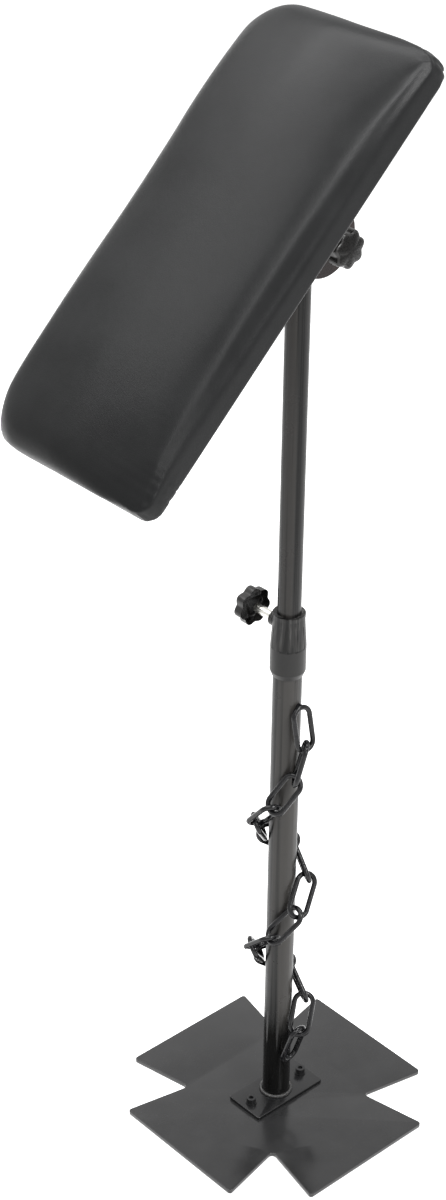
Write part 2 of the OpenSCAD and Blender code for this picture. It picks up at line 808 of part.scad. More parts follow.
// Lean of each link's width out of the tube's surface
link_leans = [10, -55, 40, -65, -25, -10, 20, 40, 65, -70, -25, -10, 15, 70, 0];

wire_r = wire_d / 2;
crown_r = (link_inner_w + wire_d) / 2;
hook_pitch = link_inner_l - hook_play;
end_hook_r = lower_r + wire_r + chain_end_gap;

// Smallest hook radius that keeps a link clear of the tube
function hook_need(i) =
    (lower_r + wire_r + chain_gap + crown_r * abs(sin(link_leans[i]))) / cos(link_turns[i] / 2);
function hook_r(i) =
    i == 0 || i == links ? end_hook_r : max(hook_need(i - 1), hook_need(i));
function hook_angle(i) =
    i == 0 ? chain_start_angle : hook_angle(i - 1) - link_turns[i - 1];
function hook_flat(i) = hook_r(i) * [cos(hook_angle(i)), sin(hook_angle(i))];
function hook_drop(i) = sqrt(pow(hook_pitch, 2) - pow(norm(hook_flat(i + 1) - hook_flat(i)), 2));
function hook_z(i) = i == 0 ? chain_top : hook_z(i - 1) - hook_drop(i - 1);
function hook(i) = [hook_flat(i)[0], hook_flat(i)[1], hook_z(i)];

// Frame of link i: its middle, the direction down its length, and the direction of its width
function link_frame(i) =
    let(
        a = hook(i),
        b = hook(i + 1),
        mid = (a + b) / 2,
        along = (b - a) / norm(b - a),
        out = [mid[0], mid[1], 0] / norm([mid[0], mid[1], 0]),
        side = cross(out, along) / norm(cross(out, along)),
        normal = cross(along, side),
        width = side * cos(link_leans[i]) + normal * sin(link_leans[i])
    )
    [mid, along, width, cross(along, width)];

module place_link(i) {
    f = link_frame(i);
    multmatrix([
        [f[2][0], f[1][0], -f[3][0], f[0][0]],
        [f[2][1], f[1][1], -f[3][1], f[0][1]],
        [f[2][2], f[1][2], -f[3][2], f[0][2]],
        [0, 0, 0, 1]]) children();
}

module link() {
    half = (link_inner_l + wire_d) / 2 - crown_r;
    for (end = [0, 1]) mirror([0, end, 0]) translate([0, half, 0])
        rotate_extrude(angle = 180) translate([crown_r, 0]) circle(r = wire_r);
    for (side = [-1, 1]) translate([side * crown_r, half, 0])
        rotate([90, 0, 0]) cylinder(r = wire_r, h = 2 * half);
}

// Radius of the weld that holds an end of the chain
chain_weld_r = 3;

// A weld from the tube to the tip of link i, at its upper end (-1) or its lower end (1)
module end_weld(i, end) {
    f = link_frame(i);
    tip = f[0] + f[1] * end * (link_inner_l + wire_d) / 2;
    translate([0, 0, tip[2]]) rotate([0, 0, atan2(tip[1], tip[0])])
        shaft_x(chain_weld_r, lower_r + seat_gap, norm([tip[0], tip[1]]));
}

module chain_link(n) color([0.05, 0.05, 0.055]) {
    place_link(n - 1) link();
    if (n == 1) end_weld(0, -1);
    if (n == links) end_weld(links - 1, 1);
}

base_plate();
foot_flange();
foot_weld();
foot_screws();
foot_washers();
lower_tube();
guide_bush();
collar_sleeve();
collar_cap();
boss_insert();
height_stud();
height_knob();
glide_plug();
upper_tube();
pivot_sleeve();
pivot_weld();
friction_washers();
tilt_bracket();
hinge_bolt();
bolt_washers();
knob_insert();
tilt_knob();
bracket_screws();
tee_nuts();
pad_board();
pad_foam();
pad_cover();
dust_cover();
staples();
chain_link(1);  // chain_link_01
chain_link(2);  // chain_link_02
chain_link(3);  // chain_link_03
chain_link(4);  // chain_link_04
chain_link(5);  // chain_link_05
chain_link(6);  // chain_link_06
chain_link(7);  // chain_link_07
chain_link(8);  // chain_link_08
chain_link(9);  // chain_link_09
chain_link(10);  // chain_link_10
chain_link(11);  // chain_link_11
chain_link(12);  // chain_link_12
chain_link(13);  // chain_link_13
chain_link(14);  // chain_link_14
chain_link(15);  // chain_link_15
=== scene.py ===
"""Looks of a free-standing tattoo arm rest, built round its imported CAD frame.

The pad, its dust cover, the plate, the flange, the foot's weld bead and the
knobs are modelled here. Tubes, collar, bracket, fasteners and chain keep their CAD shapes
and get their finishes here.
"""

import math

import bmesh
import bpy
from mathutils import Matrix, Vector, noise


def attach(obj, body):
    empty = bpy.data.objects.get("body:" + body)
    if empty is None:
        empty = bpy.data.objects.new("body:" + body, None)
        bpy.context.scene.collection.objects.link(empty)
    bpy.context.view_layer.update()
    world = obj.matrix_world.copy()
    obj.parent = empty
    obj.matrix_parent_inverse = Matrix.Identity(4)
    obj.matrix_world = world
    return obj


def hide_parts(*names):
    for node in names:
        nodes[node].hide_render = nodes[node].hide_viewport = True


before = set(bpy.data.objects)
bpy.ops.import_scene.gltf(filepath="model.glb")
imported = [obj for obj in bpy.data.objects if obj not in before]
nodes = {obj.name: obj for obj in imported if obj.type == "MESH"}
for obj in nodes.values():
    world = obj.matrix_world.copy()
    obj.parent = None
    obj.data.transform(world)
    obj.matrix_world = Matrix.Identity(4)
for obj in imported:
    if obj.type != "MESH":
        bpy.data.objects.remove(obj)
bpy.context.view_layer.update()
MM = 0.001

# Sizes shared with the CAD source, in millimetres
BASE_SIZE = 240
BASE_T = 4
ARM_END_W = 140
NOTCH_ROOT = 57
TIP_R = 3.5
NOTCH_R = 6
FLANGE_L = 80
FLANGE_W = 40
FLANGE_T = 3
FLANGE_R = 2
LOWER_R = 12.5
FOOT_WELD_LEG = 3
BOSS_Z = 506
SEAM_Z = 488
HEIGHT_HUB_END = 27
HEIGHT_KNOB_D = 34
TILT_KNOB_D = 31
KNOB_LOBES = 7
HEAD_T = 12
HUB_D = 17
HUB_L = 11
TILT_HUB_END = 31.05
HINGE_H = 853
TILT = math.radians(44)
PAD_L = 391
PAD_W = 165
PAD_T = 60
PAD_SHIFT = 59
PAD_OFFSET = 46.5
CROWN_H = 4
DIP_H = 4
END_FALL = 12
HEM_W = 24
DUST_RIM_W = 12


# Camera, at the place that the photograph was taken from

CAMERA_PLACE = Vector((1.23921, -1.20359, 1.54560))
CAMERA_YAW = math.radians(47.641)
CAMERA_PITCH = math.radians(30.476)
CAMERA_ROLL = math.radians(0.718)
FOCAL_PIXELS = 2451.58
PHOTO_HEIGHT = 1200
SENSOR = 36
CLIP_START = 0.05
CLIP_END = 50


def make_camera():
    data = bpy.data.cameras.new("photo_camera")
    camera = bpy.data.objects.new("photo_camera", data)
    bpy.context.scene.collection.objects.link(camera)
    level = math.cos(CAMERA_PITCH)
    ahead = Vector((
        -math.sin(CAMERA_YAW) * level,
        math.cos(CAMERA_YAW) * level,
        -math.sin(CAMERA_PITCH),
    ))
    right = Vector((math.cos(CAMERA_YAW), math.sin(CAMERA_YAW), 0))
    up = right.cross(ahead)
    turn = CAMERA_ROLL
    right, up = (
        math.cos(turn) * right + math.sin(turn) * up,
        -math.sin(turn) * right + math.cos(turn) * up,
    )
    facing = Matrix((right, up, -ahead)).transposed().to_4x4()
    camera.matrix_world = Matrix.Translation(CAMERA_PLACE) @ facing
    data.sensor_width = SENSOR
    data.lens = SENSOR * FOCAL_PIXELS / PHOTO_HEIGHT
    data.clip_start = CLIP_START
    data.clip_end = CLIP_END
    bpy.context.scene.camera = camera


make_camera()


# Modelling helpers


def only(obj):
    """Selects one object and makes it active."""
    bpy.ops.object.select_all(action="DESELECT")
    obj.select_set(True)
    bpy.context.view_layer.objects.active = obj
    return obj


def named(name):
    """Names the primitive that was just added."""
    obj = bpy.context.view_layer.objects.active
    obj.name = name
    obj.data.name = name
    return only(obj)


def start_edit(obj, mode="FACE"):
    only(obj)
    bpy.ops.object.mode_set(mode="EDIT")
    bpy.ops.mesh.select_mode(type=mode)
    bpy.ops.mesh.select_all(action="DESELECT")
    return bmesh.from_edit_mesh(obj.data)


def choose(mesh, parts, test):
    """Selects the faces, edges or vertices that pass a test."""
    bpy.ops.mesh.select_all(action="DESELECT")
    for part in parts:
        if test(part):
            part.select_set(True)
    mesh.select_flush_mode()


def end_edit():
    bpy.ops.object.mode_set(mode="OBJECT")


def upright(edge):
    """Whether an edge stands up, rather than lying level."""
    return abs(edge.verts[0].co.z - edge.verts[1].co.z) > MM


def add_modifier(obj, kind, **settings):
    modifier = obj.modifiers.new(kind.lower(), kind)
    for key, value in settings.items():
        setattr(modifier, key, value)
    return modifier


def apply_all(obj):
    only(obj)
    for modifier in list(obj.modifiers):
        bpy.ops.object.modifier_apply(modifier=modifier.name)
    return obj


def settle(obj):
    """Puts the object's place and turn into its mesh."""
    only(obj)
    bpy.ops.object.transform_apply(location=True, rotation=True, scale=True)
    return obj


def round_edges(obj, width, segments, degrees):
    """Rounds the edges that are sharper than an angle, by a width in millimetres."""
    return add_modifier(obj, "BEVEL", width=width * MM, segments=segments,
                        limit_method="ANGLE", angle_limit=math.radians(degrees))


def smooth(obj, degrees):
    only(obj)
    bpy.ops.object.shade_smooth_by_angle(angle=math.radians(degrees))
    return obj


def place(obj, matrix):
    obj.data.transform(matrix)
    obj.data.update()


def finished(obj, body, material, slot, *replaced):
    """Gives a piece its material, the body it rides on and the nodes it stands for."""
    obj.data.materials.clear()
    obj.data.materials.append(material)
    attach(obj, body)
    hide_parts(*replaced)


# Materials. Each is a node tree on object coordinates. Patterns are counted in cells a metre.

# The span in which most of a noise pattern lies
NOISE_LOW = 0.3
NOISE_HIGH = 0.7

DUST = (0.12, 0.11, 0.10)
# Tone of the painted shadow in the collar's seam
SEAM_SHADOW = (0.002, 0.002, 0.002)


def shade(colour, share, lift=0.0):
    """A darker or lighter tone of a colour."""
    return tuple(c * share + lift for c in colour)


class Finish:
    """A material with its shader and shorthand for adding nodes."""

    def __init__(self, name):
        self.material = bpy.data.materials.new(name)
        self.material.use_nodes = True
        self.tree = self.material.node_tree
        self.shader = self.tree.nodes["Principled BSDF"]
        self.place = self.add("ShaderNodeTexCoord").outputs["Object"]

    def add(self, kind, **settings):
        node = self.tree.nodes.new(kind)
        for key, value in settings.items():
            setattr(node, key, value)
        return node

    def join(self, source, target):
        self.tree.links.new(source, target)

    def set(self, **values):
        """Sets numbers on the shader's own sockets."""
        for key, value in values.items():
            self.shader.inputs[key.replace("_", " ")].default_value = value

    def noise(self, per_metre, detail=3.0, roughness=0.55, vector=None):
        node = self.add("ShaderNodeTexNoise")
        node.inputs["Scale"].default_value = per_metre
        node.inputs["Detail"].default_value = detail
        node.inputs["Roughness"].default_value = roughness
        self.join(vector or self.place, node.inputs["Vector"])
        return node.outputs["Fac"]

    def cells(self, per_metre, feature="F1", vector=None):
        node = self.add("ShaderNodeTexVoronoi", feature=feature)
        node.inputs["Scale"].default_value = per_metre
        self.join(vector or self.place, node.inputs["Vector"])
        return node.outputs["Distance"]

    def stretched(self, x, y, z):
        """Coordinates that draw a pattern out along the axes with a small factor."""
        node = self.add("ShaderNodeMapping")
        node.inputs["Scale"].default_value = (x, y, z)
        self.join(self.place, node.inputs["Vector"])
        return node.outputs["Vector"]

    def height(self):
        """Height of a point above the floor."""
        node = self.add("ShaderNodeSeparateXYZ")
        self.join(self.place, node.inputs[0])
        return node.outputs["Z"]

    def spread(self, value, low, high, out_low=0.0, out_high=1.0):
        """Maps a span of values to another one, and holds it at the ends."""
        node = self.add("ShaderNodeMapRange")
        node.inputs["From Min"].default_value = low
        node.inputs["From Max"].default_value = high
        node.inputs["To Min"].default_value = out_low
        node.inputs["To Max"].default_value = out_high
        self.join(value, node.inputs["Value"])
        return node.outputs["Result"]

    def uneven(self, pattern, low, high):
        """A level that wanders between two values with a noise pattern."""
        return self.spread(pattern, NOISE_LOW, NOISE_HIGH, low, high)

    def maths(self, kind, a, b):
        node = self.add("ShaderNodeMath", operation=kind)
        for value, socket in ((a, node.inputs[0]), (b, node.inputs[1])):
            if isinstance(value, (int, float)):
                socket.default_value = value
            else:
                self.join(value, socket)
        return node.outputs[0]

    def blend(self, share, a, b):
        """Mixes two colours by a share."""
        node = self.add("ShaderNodeMix", data_type="RGBA")
        self.join(share, node.inputs["Factor"])
        for value, socket in ((a, node.inputs[6]), (b, node.inputs[7])):
            if isinstance(value, tuple):
                socket.default_value = (*value, 1)
            else:
                self.join(value, socket)
        return node.outputs[2]

    def colour(self, source):
        self.join(source, self.shader.inputs["Base Color"])

    def roughness(self, source):
        self.join(source, self.shader.inputs["Roughness"])

    def bump(self, height, strength, depth, after=None):
        """Raises a pattern by a depth in metres, over a bump made before it."""
        node = self.add("ShaderNodeBump")
        node.inputs["Strength"].default_value = strength
        node.inputs["Distance"].default_value = depth
        self.join(height, node.inputs["Height"])
        if after is not None:
            self.join(after, node.inputs["Normal"])
        self.join(node.outputs["Normal"], self.shader.inputs["Normal"])
        return node.outputs["Normal"]


def powder_coat(name, colour, gloss, peel, level=0.5):
    """Baked powder paint: orange peel, faint clouding and a little dust."""
    finish = Finish(name)
    cloud = finish.noise(38, 4)
    dust = finish.spread(finish.noise(420, 2), 0.62, 0.8, 0, 0.5)
    base = finish.blend(finish.spread(cloud, 0.35, 0.68), shade(colour, 0.82), colour)
    finish.colour(finish.blend(dust, base, shade(colour, 1.25, 0.004)))
    finish.roughness(finish.uneven(cloud, gloss - 0.05, gloss + 0.07))
    fine = finish.bump(finish.noise(2600, 1), 0.10, 0.2 * MM)
    finish.bump(finish.noise(640, 2), peel, 0.5 * MM, fine)
    finish.set(Specular_IOR_Level=level)
    return finish.material


def drawn_tube(name, colour, gloss_below=0.0):
    """Painted drawn tube: long dark and light streaks along it, which are painted reflections, and a
    glossier coat near the floor.
    """
    finish = Finish(name)
    fine = finish.noise(330, 3, 0.6, finish.stretched(1, 1, 0.006))
    broad = finish.noise(120, 2, 0.5, finish.stretched(1, 1, 0.01))
    cloud = finish.noise(60, 4)
    # Painted reflections: the dark streaks and the warm light streaks down the tube.
    painted_highlight = (colour[0] * 2.9, colour[1] * 2.75, colour[2] * 2.65)
    base = finish.blend(finish.spread(fine, 0.45, 0.52), shade(colour, 0.12), colour)
    base = finish.blend(finish.spread(broad, 0.53, 0.60, 0, 0.9), base, painted_highlight)
    dust = finish.spread(finish.noise(900, 2), 0.68, 0.8, 0, 0.2)
    base = finish.blend(dust, base, DUST)
    satin = finish.uneven(cloud, 0.26, 0.36)
    if gloss_below:
        wavy = finish.uneven(cloud, -4 * MM, 4 * MM)
        edge = finish.maths("ADD", finish.height(), wavy)
        above = finish.spread(edge, gloss_below - 20 * MM, gloss_below + 12 * MM)
        base = finish.blend(above, shade(colour, 0.4), base)
        satin = finish.maths("MULTIPLY", satin, finish.spread(above, 0, 1, 0.35, 1.0))
    finish.colour(base)
    finish.roughness(satin)
    peel = finish.bump(finish.noise(700, 2), 0.08, 0.4 * MM)
    finish.bump(fine, 0.2, 0.3 * MM, peel)
    finish.set(Specular_IOR_Level=0.22)
    return finish.material


def moulded_plastic(name, colour, gloss, grain):
    """Moulded plastic: spark-eroded grain and faint flow marks."""
    finish = Finish(name)
    flow = finish.noise(60, 3, vector=finish.stretched(1, 1, 0.35))
    pale = shade(colour, 1.6, 0.006)
    finish.colour(finish.blend(finish.spread(flow, 0.4, 0.75), colour, pale))
    finish.roughness(finish.uneven(flow, gloss - 0.06, gloss + 0.08))
    fine = finish.bump(finish.noise(1500, 2), grain, 0.4 * MM)
    finish.bump(finish.noise(130, 2), 0.05, 1 * MM, fine)
    finish.set(Specular_IOR_Level=0.4)
    return finish.material


def fluted_plastic(name, colour, seam_z):
    """Plastic of the collar: dark lines of painted shade and light lines of painted highlight down its
    flutes, and a painted shadow in its seam.
    """
    finish = Finish(name)
    height = finish.height()
    lines = finish.noise(300, 3, 0.6, finish.stretched(1, 1, 0.012))
    flow = finish.noise(90, 3)
    # Painted shade and painted highlight: dark lines and light lines down the flutes.
    fluted = finish.blend(finish.spread(lines, 0.44, 0.51), shade(colour, 0.1), colour)
    worn = finish.spread(lines, 0.56, 0.63, 0, 0.9)
    fluted = finish.blend(worn, fluted, shade(colour, 3.2))
    plain = finish.blend(finish.spread(flow, 0.35, 0.7), shade(colour, 0.9), colour)
    above = finish.spread(height, seam_z - 1 * MM, seam_z + 1 * MM)
    base = finish.blend(above, plain, fluted)
    # Painted shadow: a dark, broken line along the seam between the sleeve and the cap.
    away = finish.maths("ABSOLUTE", finish.maths("SUBTRACT", height, seam_z), 0)
    seam = finish.spread(away, 0.5 * MM, 1.1 * MM, 1, 0)
    broken = finish.spread(finish.noise(240, 2), 0.42, 0.5)
    finish.colour(finish.blend(finish.maths("MULTIPLY", seam, broken), base, SEAM_SHADOW))
    finish.roughness(finish.uneven(flow, 0.30, 0.42))
    finish.bump(finish.noise(1500, 2), 0.06, 0.3 * MM)
    finish.set(Specular_IOR_Level=0.25)
    return finish.material


def plated_steel(name, colour, gloss):
    """Plated or bare metal: fine marks and uneven gloss."""
    finish = Finish(name)
    stain = finish.noise(150, 4)
    finish.colour(finish.blend(finish.spread(stain, 0.42, 0.7), colour, shade(colour, 0.72)))
    finish.roughness(finish.uneven(stain, gloss - 0.06, gloss + 0.12))
    finish.bump(finish.noise(900, 3), 0.12, 0.3 * MM)
    finish.set(Metallic=1.0)
    return finish.material


def black_oxide():
    """Black oxide on screws, worn to grey steel in specks."""
    finish = Finish("black_oxide_screws")
    wear = finish.noise(700, 4)
    black = (0.03, 0.03, 0.031)
    bare = (0.16, 0.155, 0.15)
    finish.colour(finish.blend(finish.spread(wear, 0.62, 0.78), black, bare))
    finish.roughness(finish.uneven(wear, 0.26, 0.42))
    finish.bump(finish.noise(1800, 2), 0.12, 0.3 * MM)
    finish.set(Metallic=0.6)
    return finish.material


def gloss_chain_paint():
    """Dipped gloss paint on chain: pooled, slightly wavy, rubbed at high spots."""
    finish = Finish("gloss_chain_paint")
    pool = finish.noise(260, 3)
    thin = (0.004, 0.004, 0.005)
    thick = (0.012, 0.012, 0.013)
    rubbed = (0.12, 0.115, 0.11)
    rub = finish.spread(finish.noise(900, 4), 0.7, 0.78, 0, 0.6)
    base = finish.blend(finish.spread(pool, 0.35, 0.7), thin, thick)
    finish.colour(finish.blend(rub, base, rubbed))
    finish.roughness(finish.uneven(pool, 0.08, 0.18))
    finish.bump(pool, 0.35, 0.6 * MM)
    finish.set(Specular_IOR_Level=0.3)
    return finish.material


def cover_leather():
    """Upholstery leathercloth: pebbled grain in two sizes, creases and satin shine."""
    finish = Finish("charcoal_leathercloth")
    wander = finish.add("ShaderNodeTexNoise")
    wander.inputs["Scale"].default_value = 160
    finish.join(finish.place, wander.inputs["Vector"])
    shifted = finish.add("ShaderNodeVectorMath", operation="MULTIPLY_ADD")
    finish.join(wander.outputs["Color"], shifted.inputs[0])
    shifted.inputs[1].default_value = (1.2 * MM, 1.2 * MM, 1.2 * MM)
    finish.join(finish.place, shifted.inputs[2])
    pebble = finish.cells(1150, vector=shifted.outputs[0])
    groove = finish.cells(900, "DISTANCE_TO_EDGE", shifted.outputs[0])
    cloud = finish.noise(26, 4)
    crease = finish.noise(95, 5, 0.62)
    dark = (0.009, 0.0093, 0.0096)
    light = (0.0125, 0.0129, 0.0133)
    in_groove = (0.006, 0.006, 0.0065)
    base = finish.blend(finish.spread(cloud, 0.32, 0.7), dark, light)
    valley = finish.spread(groove, 0.0, 0.10, 0.35, 0.0)
    finish.colour(finish.blend(valley, base, in_groove))
    shine = finish.uneven(cloud, 0.30, 0.37)
    finish.roughness(finish.maths("ADD", shine, finish.spread(pebble, 0.1, 0.6, 0.0, 0.07)))
    waves = finish.bump(crease, 0.10, 1.2 * MM)
    cut = finish.bump(finish.spread(groove, 0.0, 0.16), 0.10, 0.2 * MM, waves)
    finish.bump(finish.spread(pebble, 0.0, 0.6, 1.0, 0.0), 0.16, 0.2 * MM, cut)
    finish.set(Specular_IOR_Level=0.15)
    return finish.material


def dust_cloth():
    """Non-woven dust cover: tangled fibres and a dimpled bond pattern."""
    finish = Finish("nonwoven_dust_cloth")
    fibres = finish.noise(1300, 5, 0.7)
    bond = finish.cells(700)
    dark = (0.008, 0.008, 0.009)
    light = (0.035, 0.035, 0.037)
    finish.colour(finish.blend(finish.spread(fibres, 0.35, 0.7), dark, light))
    finish.roughness(finish.uneven(fibres, 0.8, 0.95))
    soft = finish.bump(fibres, 0.35, 0.4 * MM)
    finish.bump(finish.spread(bond, 0.05, 0.3), 0.25, 0.3 * MM, soft)
    finish.set(Sheen_Weight=0.15)
    return finish.material


def birch_ply():
    """Plywood: long grain and the broad bands of its rings."""
    finish = Finish("birch_ply")
    grain = finish.noise(260, 5, 0.6, finish.stretched(1, 0.05, 1))
    ring = finish.noise(28, 3, 0.5, finish.stretched(1, 0.12, 1))
    early = (0.50, 0.35, 0.20)
    late = (0.66, 0.50, 0.32)
    fleck = (0.36, 0.23, 0.12)
    base = finish.blend(finish.spread(ring, 0.35, 0.65), early, late)
    finish.colour(finish.blend(finish.spread(grain, 0.45, 0.7, 0, 0.7), base, fleck))
    finish.roughness(finish.uneven(grain, 0.6, 0.75))
    finish.bump(grain, 0.2, 0.4 * MM)
    return finish.material


def friction_fibre():
    """Pressed fibre of the friction washers, flecked brown."""
    finish = Finish("friction_fibre")
    fleck = finish.noise(1700, 4, 0.65)
    brown = (0.10, 0.055, 0.035)
    tan = (0.22, 0.14, 0.09)
    finish.colour(finish.blend(finish.spread(fleck, 0.4, 0.68), brown, tan))
    finish.roughness(finish.uneven(fleck, 0.65, 0.85))
    finish.bump(fleck, 0.3, 0.3 * MM)
    return finish.material


def weld_paint():
    """Paint over a weld: lumpy, glossy, with pale specks that are painted glints."""
    finish = Finish("painted_weld")
    lump = finish.noise(900, 4, 0.6)
    dark = (0.015, 0.015, 0.016)
    light = (0.045, 0.043, 0.04)
    spatter_glint = (0.55, 0.52, 0.46)
    base = finish.blend(finish.spread(lump, 0.4, 0.7), dark, light)
    # Pale specks of painted glint on the weld.
    finish.colour(finish.blend(finish.spread(finish.cells(900), 0.14, 0.05), base, spatter_glint))
    finish.roughness(finish.uneven(lump, 0.2, 0.4))
    finish.bump(lump, 0.5, 0.8 * MM)
    return finish.material


# Height up to which the column has a glossier coat
GLOSS_TOP = 98

plate_paint = powder_coat("plate_powder_coat", (0.022, 0.022, 0.0225), 0.14, 0.08)
tube_paint = drawn_tube("tube_powder_coat", (0.0125, 0.0123, 0.012))
column_paint = drawn_tube("column_powder_coat", (0.018, 0.018, 0.0175), GLOSS_TOP * MM)
foot_paint = powder_coat("foot_gloss_paint", (0.009, 0.009, 0.0095), 0.18, 0.16)
bracket_paint = powder_coat("bracket_paint", (0.020, 0.012, 0.011), 0.30, 0.18, 0.25)
collar_plastic = fluted_plastic("collar_plastic", (0.020, 0.0195, 0.019), SEAM_Z * MM)
knob_plastic = moulded_plastic("knob_plastic", (0.009, 0.0085, 0.008), 0.24, 0.06)
guide_plastic = moulded_plastic("guide_plastic", (0.020, 0.020, 0.020), 0.5, 0.10)
zinc = plated_steel("bright_zinc", (0.80, 0.79, 0.74), 0.24)
brass = plated_steel("turned_brass", (0.83, 0.64, 0.32), 0.24)
staple_wire = plated_steel("staple_wire", (0.72, 0.72, 0.70), 0.3)
oxide = black_oxide()
chain_paint = gloss_chain_paint()
leather = cover_leather()
cloth = dust_cloth()
ply = birch_ply()
fibre = friction_fibre()
weld = weld_paint()

CAD_FINISHES = {
    "foot_screws": oxide,
    "foot_washers": oxide,
    "foot_weld": weld,
    "foot_flange": foot_paint,
    "base_plate": plate_paint,
    "lower_tube": column_paint,
    "upper_tube": tube_paint,
    "pivot_sleeve": tube_paint,
    "pivot_weld": weld,
    "guide_bush": guide_plastic,
    "glide_plug": guide_plastic,
    "collar_sleeve": collar_plastic,
    "collar_cap": collar_plastic,
    "boss_insert": zinc,
    "height_stud": zinc,
    "height_knob": knob_plastic,
    "tilt_knob": knob_plastic,
    "friction_washers": fibre,
    "tilt_bracket": bracket_paint,
    "hinge_bolt": zinc,
    "bolt_washers": zinc,
    "knob_insert": brass,
    "bracket_screws": zinc,
    "tee_nuts": zinc,
    "pad_board": ply,
    "pad_foam": cloth,
    "pad_cover": leather,
    "dust_cover": cloth,
    "staples": staple_wire,
}
for node_name, node in nodes.items():
    node.data.materials.clear()
    node.data.materials.append(
        chain_paint if node_name.startswith("chain_link") else CAD_FINISHES[node_name])


# Base plate: a cross cut from a square, with rounded tips, roots and edges

PLATE_CUTS = 3
NOTCH_SEGMENTS = 8
TIP_SEGMENTS = 6
EDGE_R = 0.5
EDGE_SEGMENTS = 3


def near(value, target):
    """Whether a coordinate, on either side of the middle, lies at a distance from it."""
    return abs(abs(value) - target) < MM / 2


def make_base_plate():
    half = BASE_SIZE / 2 * MM
    arm = ARM_END_W / 2 * MM
    root = NOTCH_ROOT * MM
    quarter = half / 2
    bpy.ops.mesh.primitive_plane_add(size=2 * half, location=(0, 0, BASE_T * MM))
    plate = named("base_plate_cut")
    start_edit(plate, "FACE")
    bpy.ops.mesh.select_all(action="SELECT")
    bpy.ops.mesh.subdivide(number_cuts=PLATE_CUTS)
    # The square's corners go, and the cuts beside them become the notches
    mesh = bmesh.from_edit_mesh(plate.data)
    choose(mesh, mesh.faces, lambda f: min(
        abs(f.calc_center_median().x), abs(f.calc_center_median().y)) > quarter)
    bpy.ops.mesh.delete(type="FACE")
    mesh = bmesh.from_edit_mesh(plate.data)
    for vert in mesh.verts:
        x, y = abs(vert.co.x), abs(vert.co.y)
        if near(x, quarter) and near(y, quarter):
            vert.co.x = math.copysign(root, vert.co.x)
            vert.co.y = math.copysign(root, vert.co.y)
        elif near(x, quarter) and y > quarter:
            vert.co.x = math.copysign(arm, vert.co.x)
        elif near(y, quarter) and x > quarter:
            vert.co.y = math.copysign(arm, vert.co.y)
    bpy.ops.mesh.select_mode(type="VERT")
    choose(mesh, mesh.verts, lambda v: near(v.co.x, root) and near(v.co.y, root))
    bpy.ops.mesh.bevel(offset=NOTCH_R * MM, segments=NOTCH_SEGMENTS, affect="VERTICES", profile=0.5)
    mesh = bmesh.from_edit_mesh(plate.data)
    tips = ((half, arm), (arm, half))
    choose(mesh, mesh.verts, lambda v: any(near(v.co.x, x) and near(v.co.y, y) for x, y in tips))
    bpy.ops.mesh.bevel(offset=TIP_R * MM, segments=TIP_SEGMENTS, affect="VERTICES", profile=0.5)
    bpy.ops.mesh.select_mode(type="FACE")
    bpy.ops.mesh.select_all(action="SELECT")
    bpy.ops.mesh.dissolve_limited(angle_limit=math.radians(1))
    end_edit()
    add_modifier(plate, "SOLIDIFY", thickness=BASE_T * MM, offset=-1)
    round_edges(plate, EDGE_R, EDGE_SEGMENTS, 60)
    apply_all(settle(plate))
    smooth(plate, 30)
    finished(plate, "column", plate_paint, "plate_black", "base_plate")


# Foot flange: a bar with softly rounded corners and edges

FLANGE_SEGMENTS = 6


def make_flange():
    middle = (BASE_T + FLANGE_T / 2) * MM
    bpy.ops.mesh.primitive_cube_add(size=1, location=(0, 0, middle))
    flange = named("foot_flange_cut")
    flange.scale = (FLANGE_W * MM, FLANGE_L * MM, FLANGE_T * MM)
    settle(flange)
    mesh = start_edit(flange, "EDGE")
    choose(mesh, mesh.edges, upright)
    bpy.ops.mesh.bevel(offset=FLANGE_R * MM, segments=FLANGE_SEGMENTS, affect="EDGES")
    end_edit()
    round_edges(flange, EDGE_R, EDGE_SEGMENTS, 60)
    apply_all(flange)
    smooth(flange, 30)
    finished(flange, "column", foot_paint, "foot_black", "foot_flange")


# Weld bead at the column's foot: a ring of overlapping ripples

FOOT_RIPPLES = 34
CUTS_PER_RIPPLE = 6
BEAD_SEGMENTS = 14
BEAD_R = FOOT_WELD_LEG * 0.62
BEAD_RING_R = LOWER_R + BEAD_R * 0.55
BEAD_Z = BASE_T + FLANGE_T + BEAD_R * 0.5
BEAD_THIN = 0.86
RIPPLE_SWELL = 0.16
LUMP_SWELL = 0.16
LUMP_SIZE = 4


def make_foot_weld():
    bpy.ops.mesh.primitive_torus_add(
        major_segments=FOOT_RIPPLES * CUTS_PER_RIPPLE, minor_segments=BEAD_SEGMENTS,
        major_radius=BEAD_RING_R * MM, minor_radius=BEAD_R * MM, location=(0, 0, BEAD_Z * MM))
    ring = settle(named("foot_weld_bead"))
    for vert in ring.data.vertices:
        turn = math.atan2(vert.co.y, vert.co.x)
        flat = Vector((vert.co.x, vert.co.y, 0)).normalized() * BEAD_RING_R * MM
        middle = flat + Vector((0, 0, BEAD_Z * MM))
        ripple = abs(math.sin(turn * FOOT_RIPPLES / 2))
        lump = noise.noise(vert.co / (LUMP_SIZE * MM))
        swelling = BEAD_THIN + RIPPLE_SWELL * ripple + LUMP_SWELL * lump
        vert.co = middle + (vert.co - middle) * swelling
        vert.co.z = max(vert.co.z, (BASE_T + FLANGE_T) * MM)
    smooth(ring, 60)
    finished(ring, "column", weld, "foot_black", "foot_weld")


# Star knobs: a lobed head with a rounded rim and a domed face. Steps for a hub with the thread's bore
# follow, but the hub isn't made.
# Each is drawn out of a disc ring by ring, and pockets are sunk behind its lobes.

SEGMENTS_PER_LOBE = 16
VALLEY_SHARE = 0.15
LOBE_FULLNESS = 0.8
RIM_ROUND = 2.2
FACE_STEPS = 4
BACK_ROUND = RIM_ROUND * 0.7
BACK_STEPS = 3
DOME_RISE = 2.4
DOME_RINGS = (0.92, 0.78, 0.6, 0.4, 0.2, 0.06)
# Heights above the head's back that tell its two end faces apart
FACE_FROM = 2
BACK_TO = 3
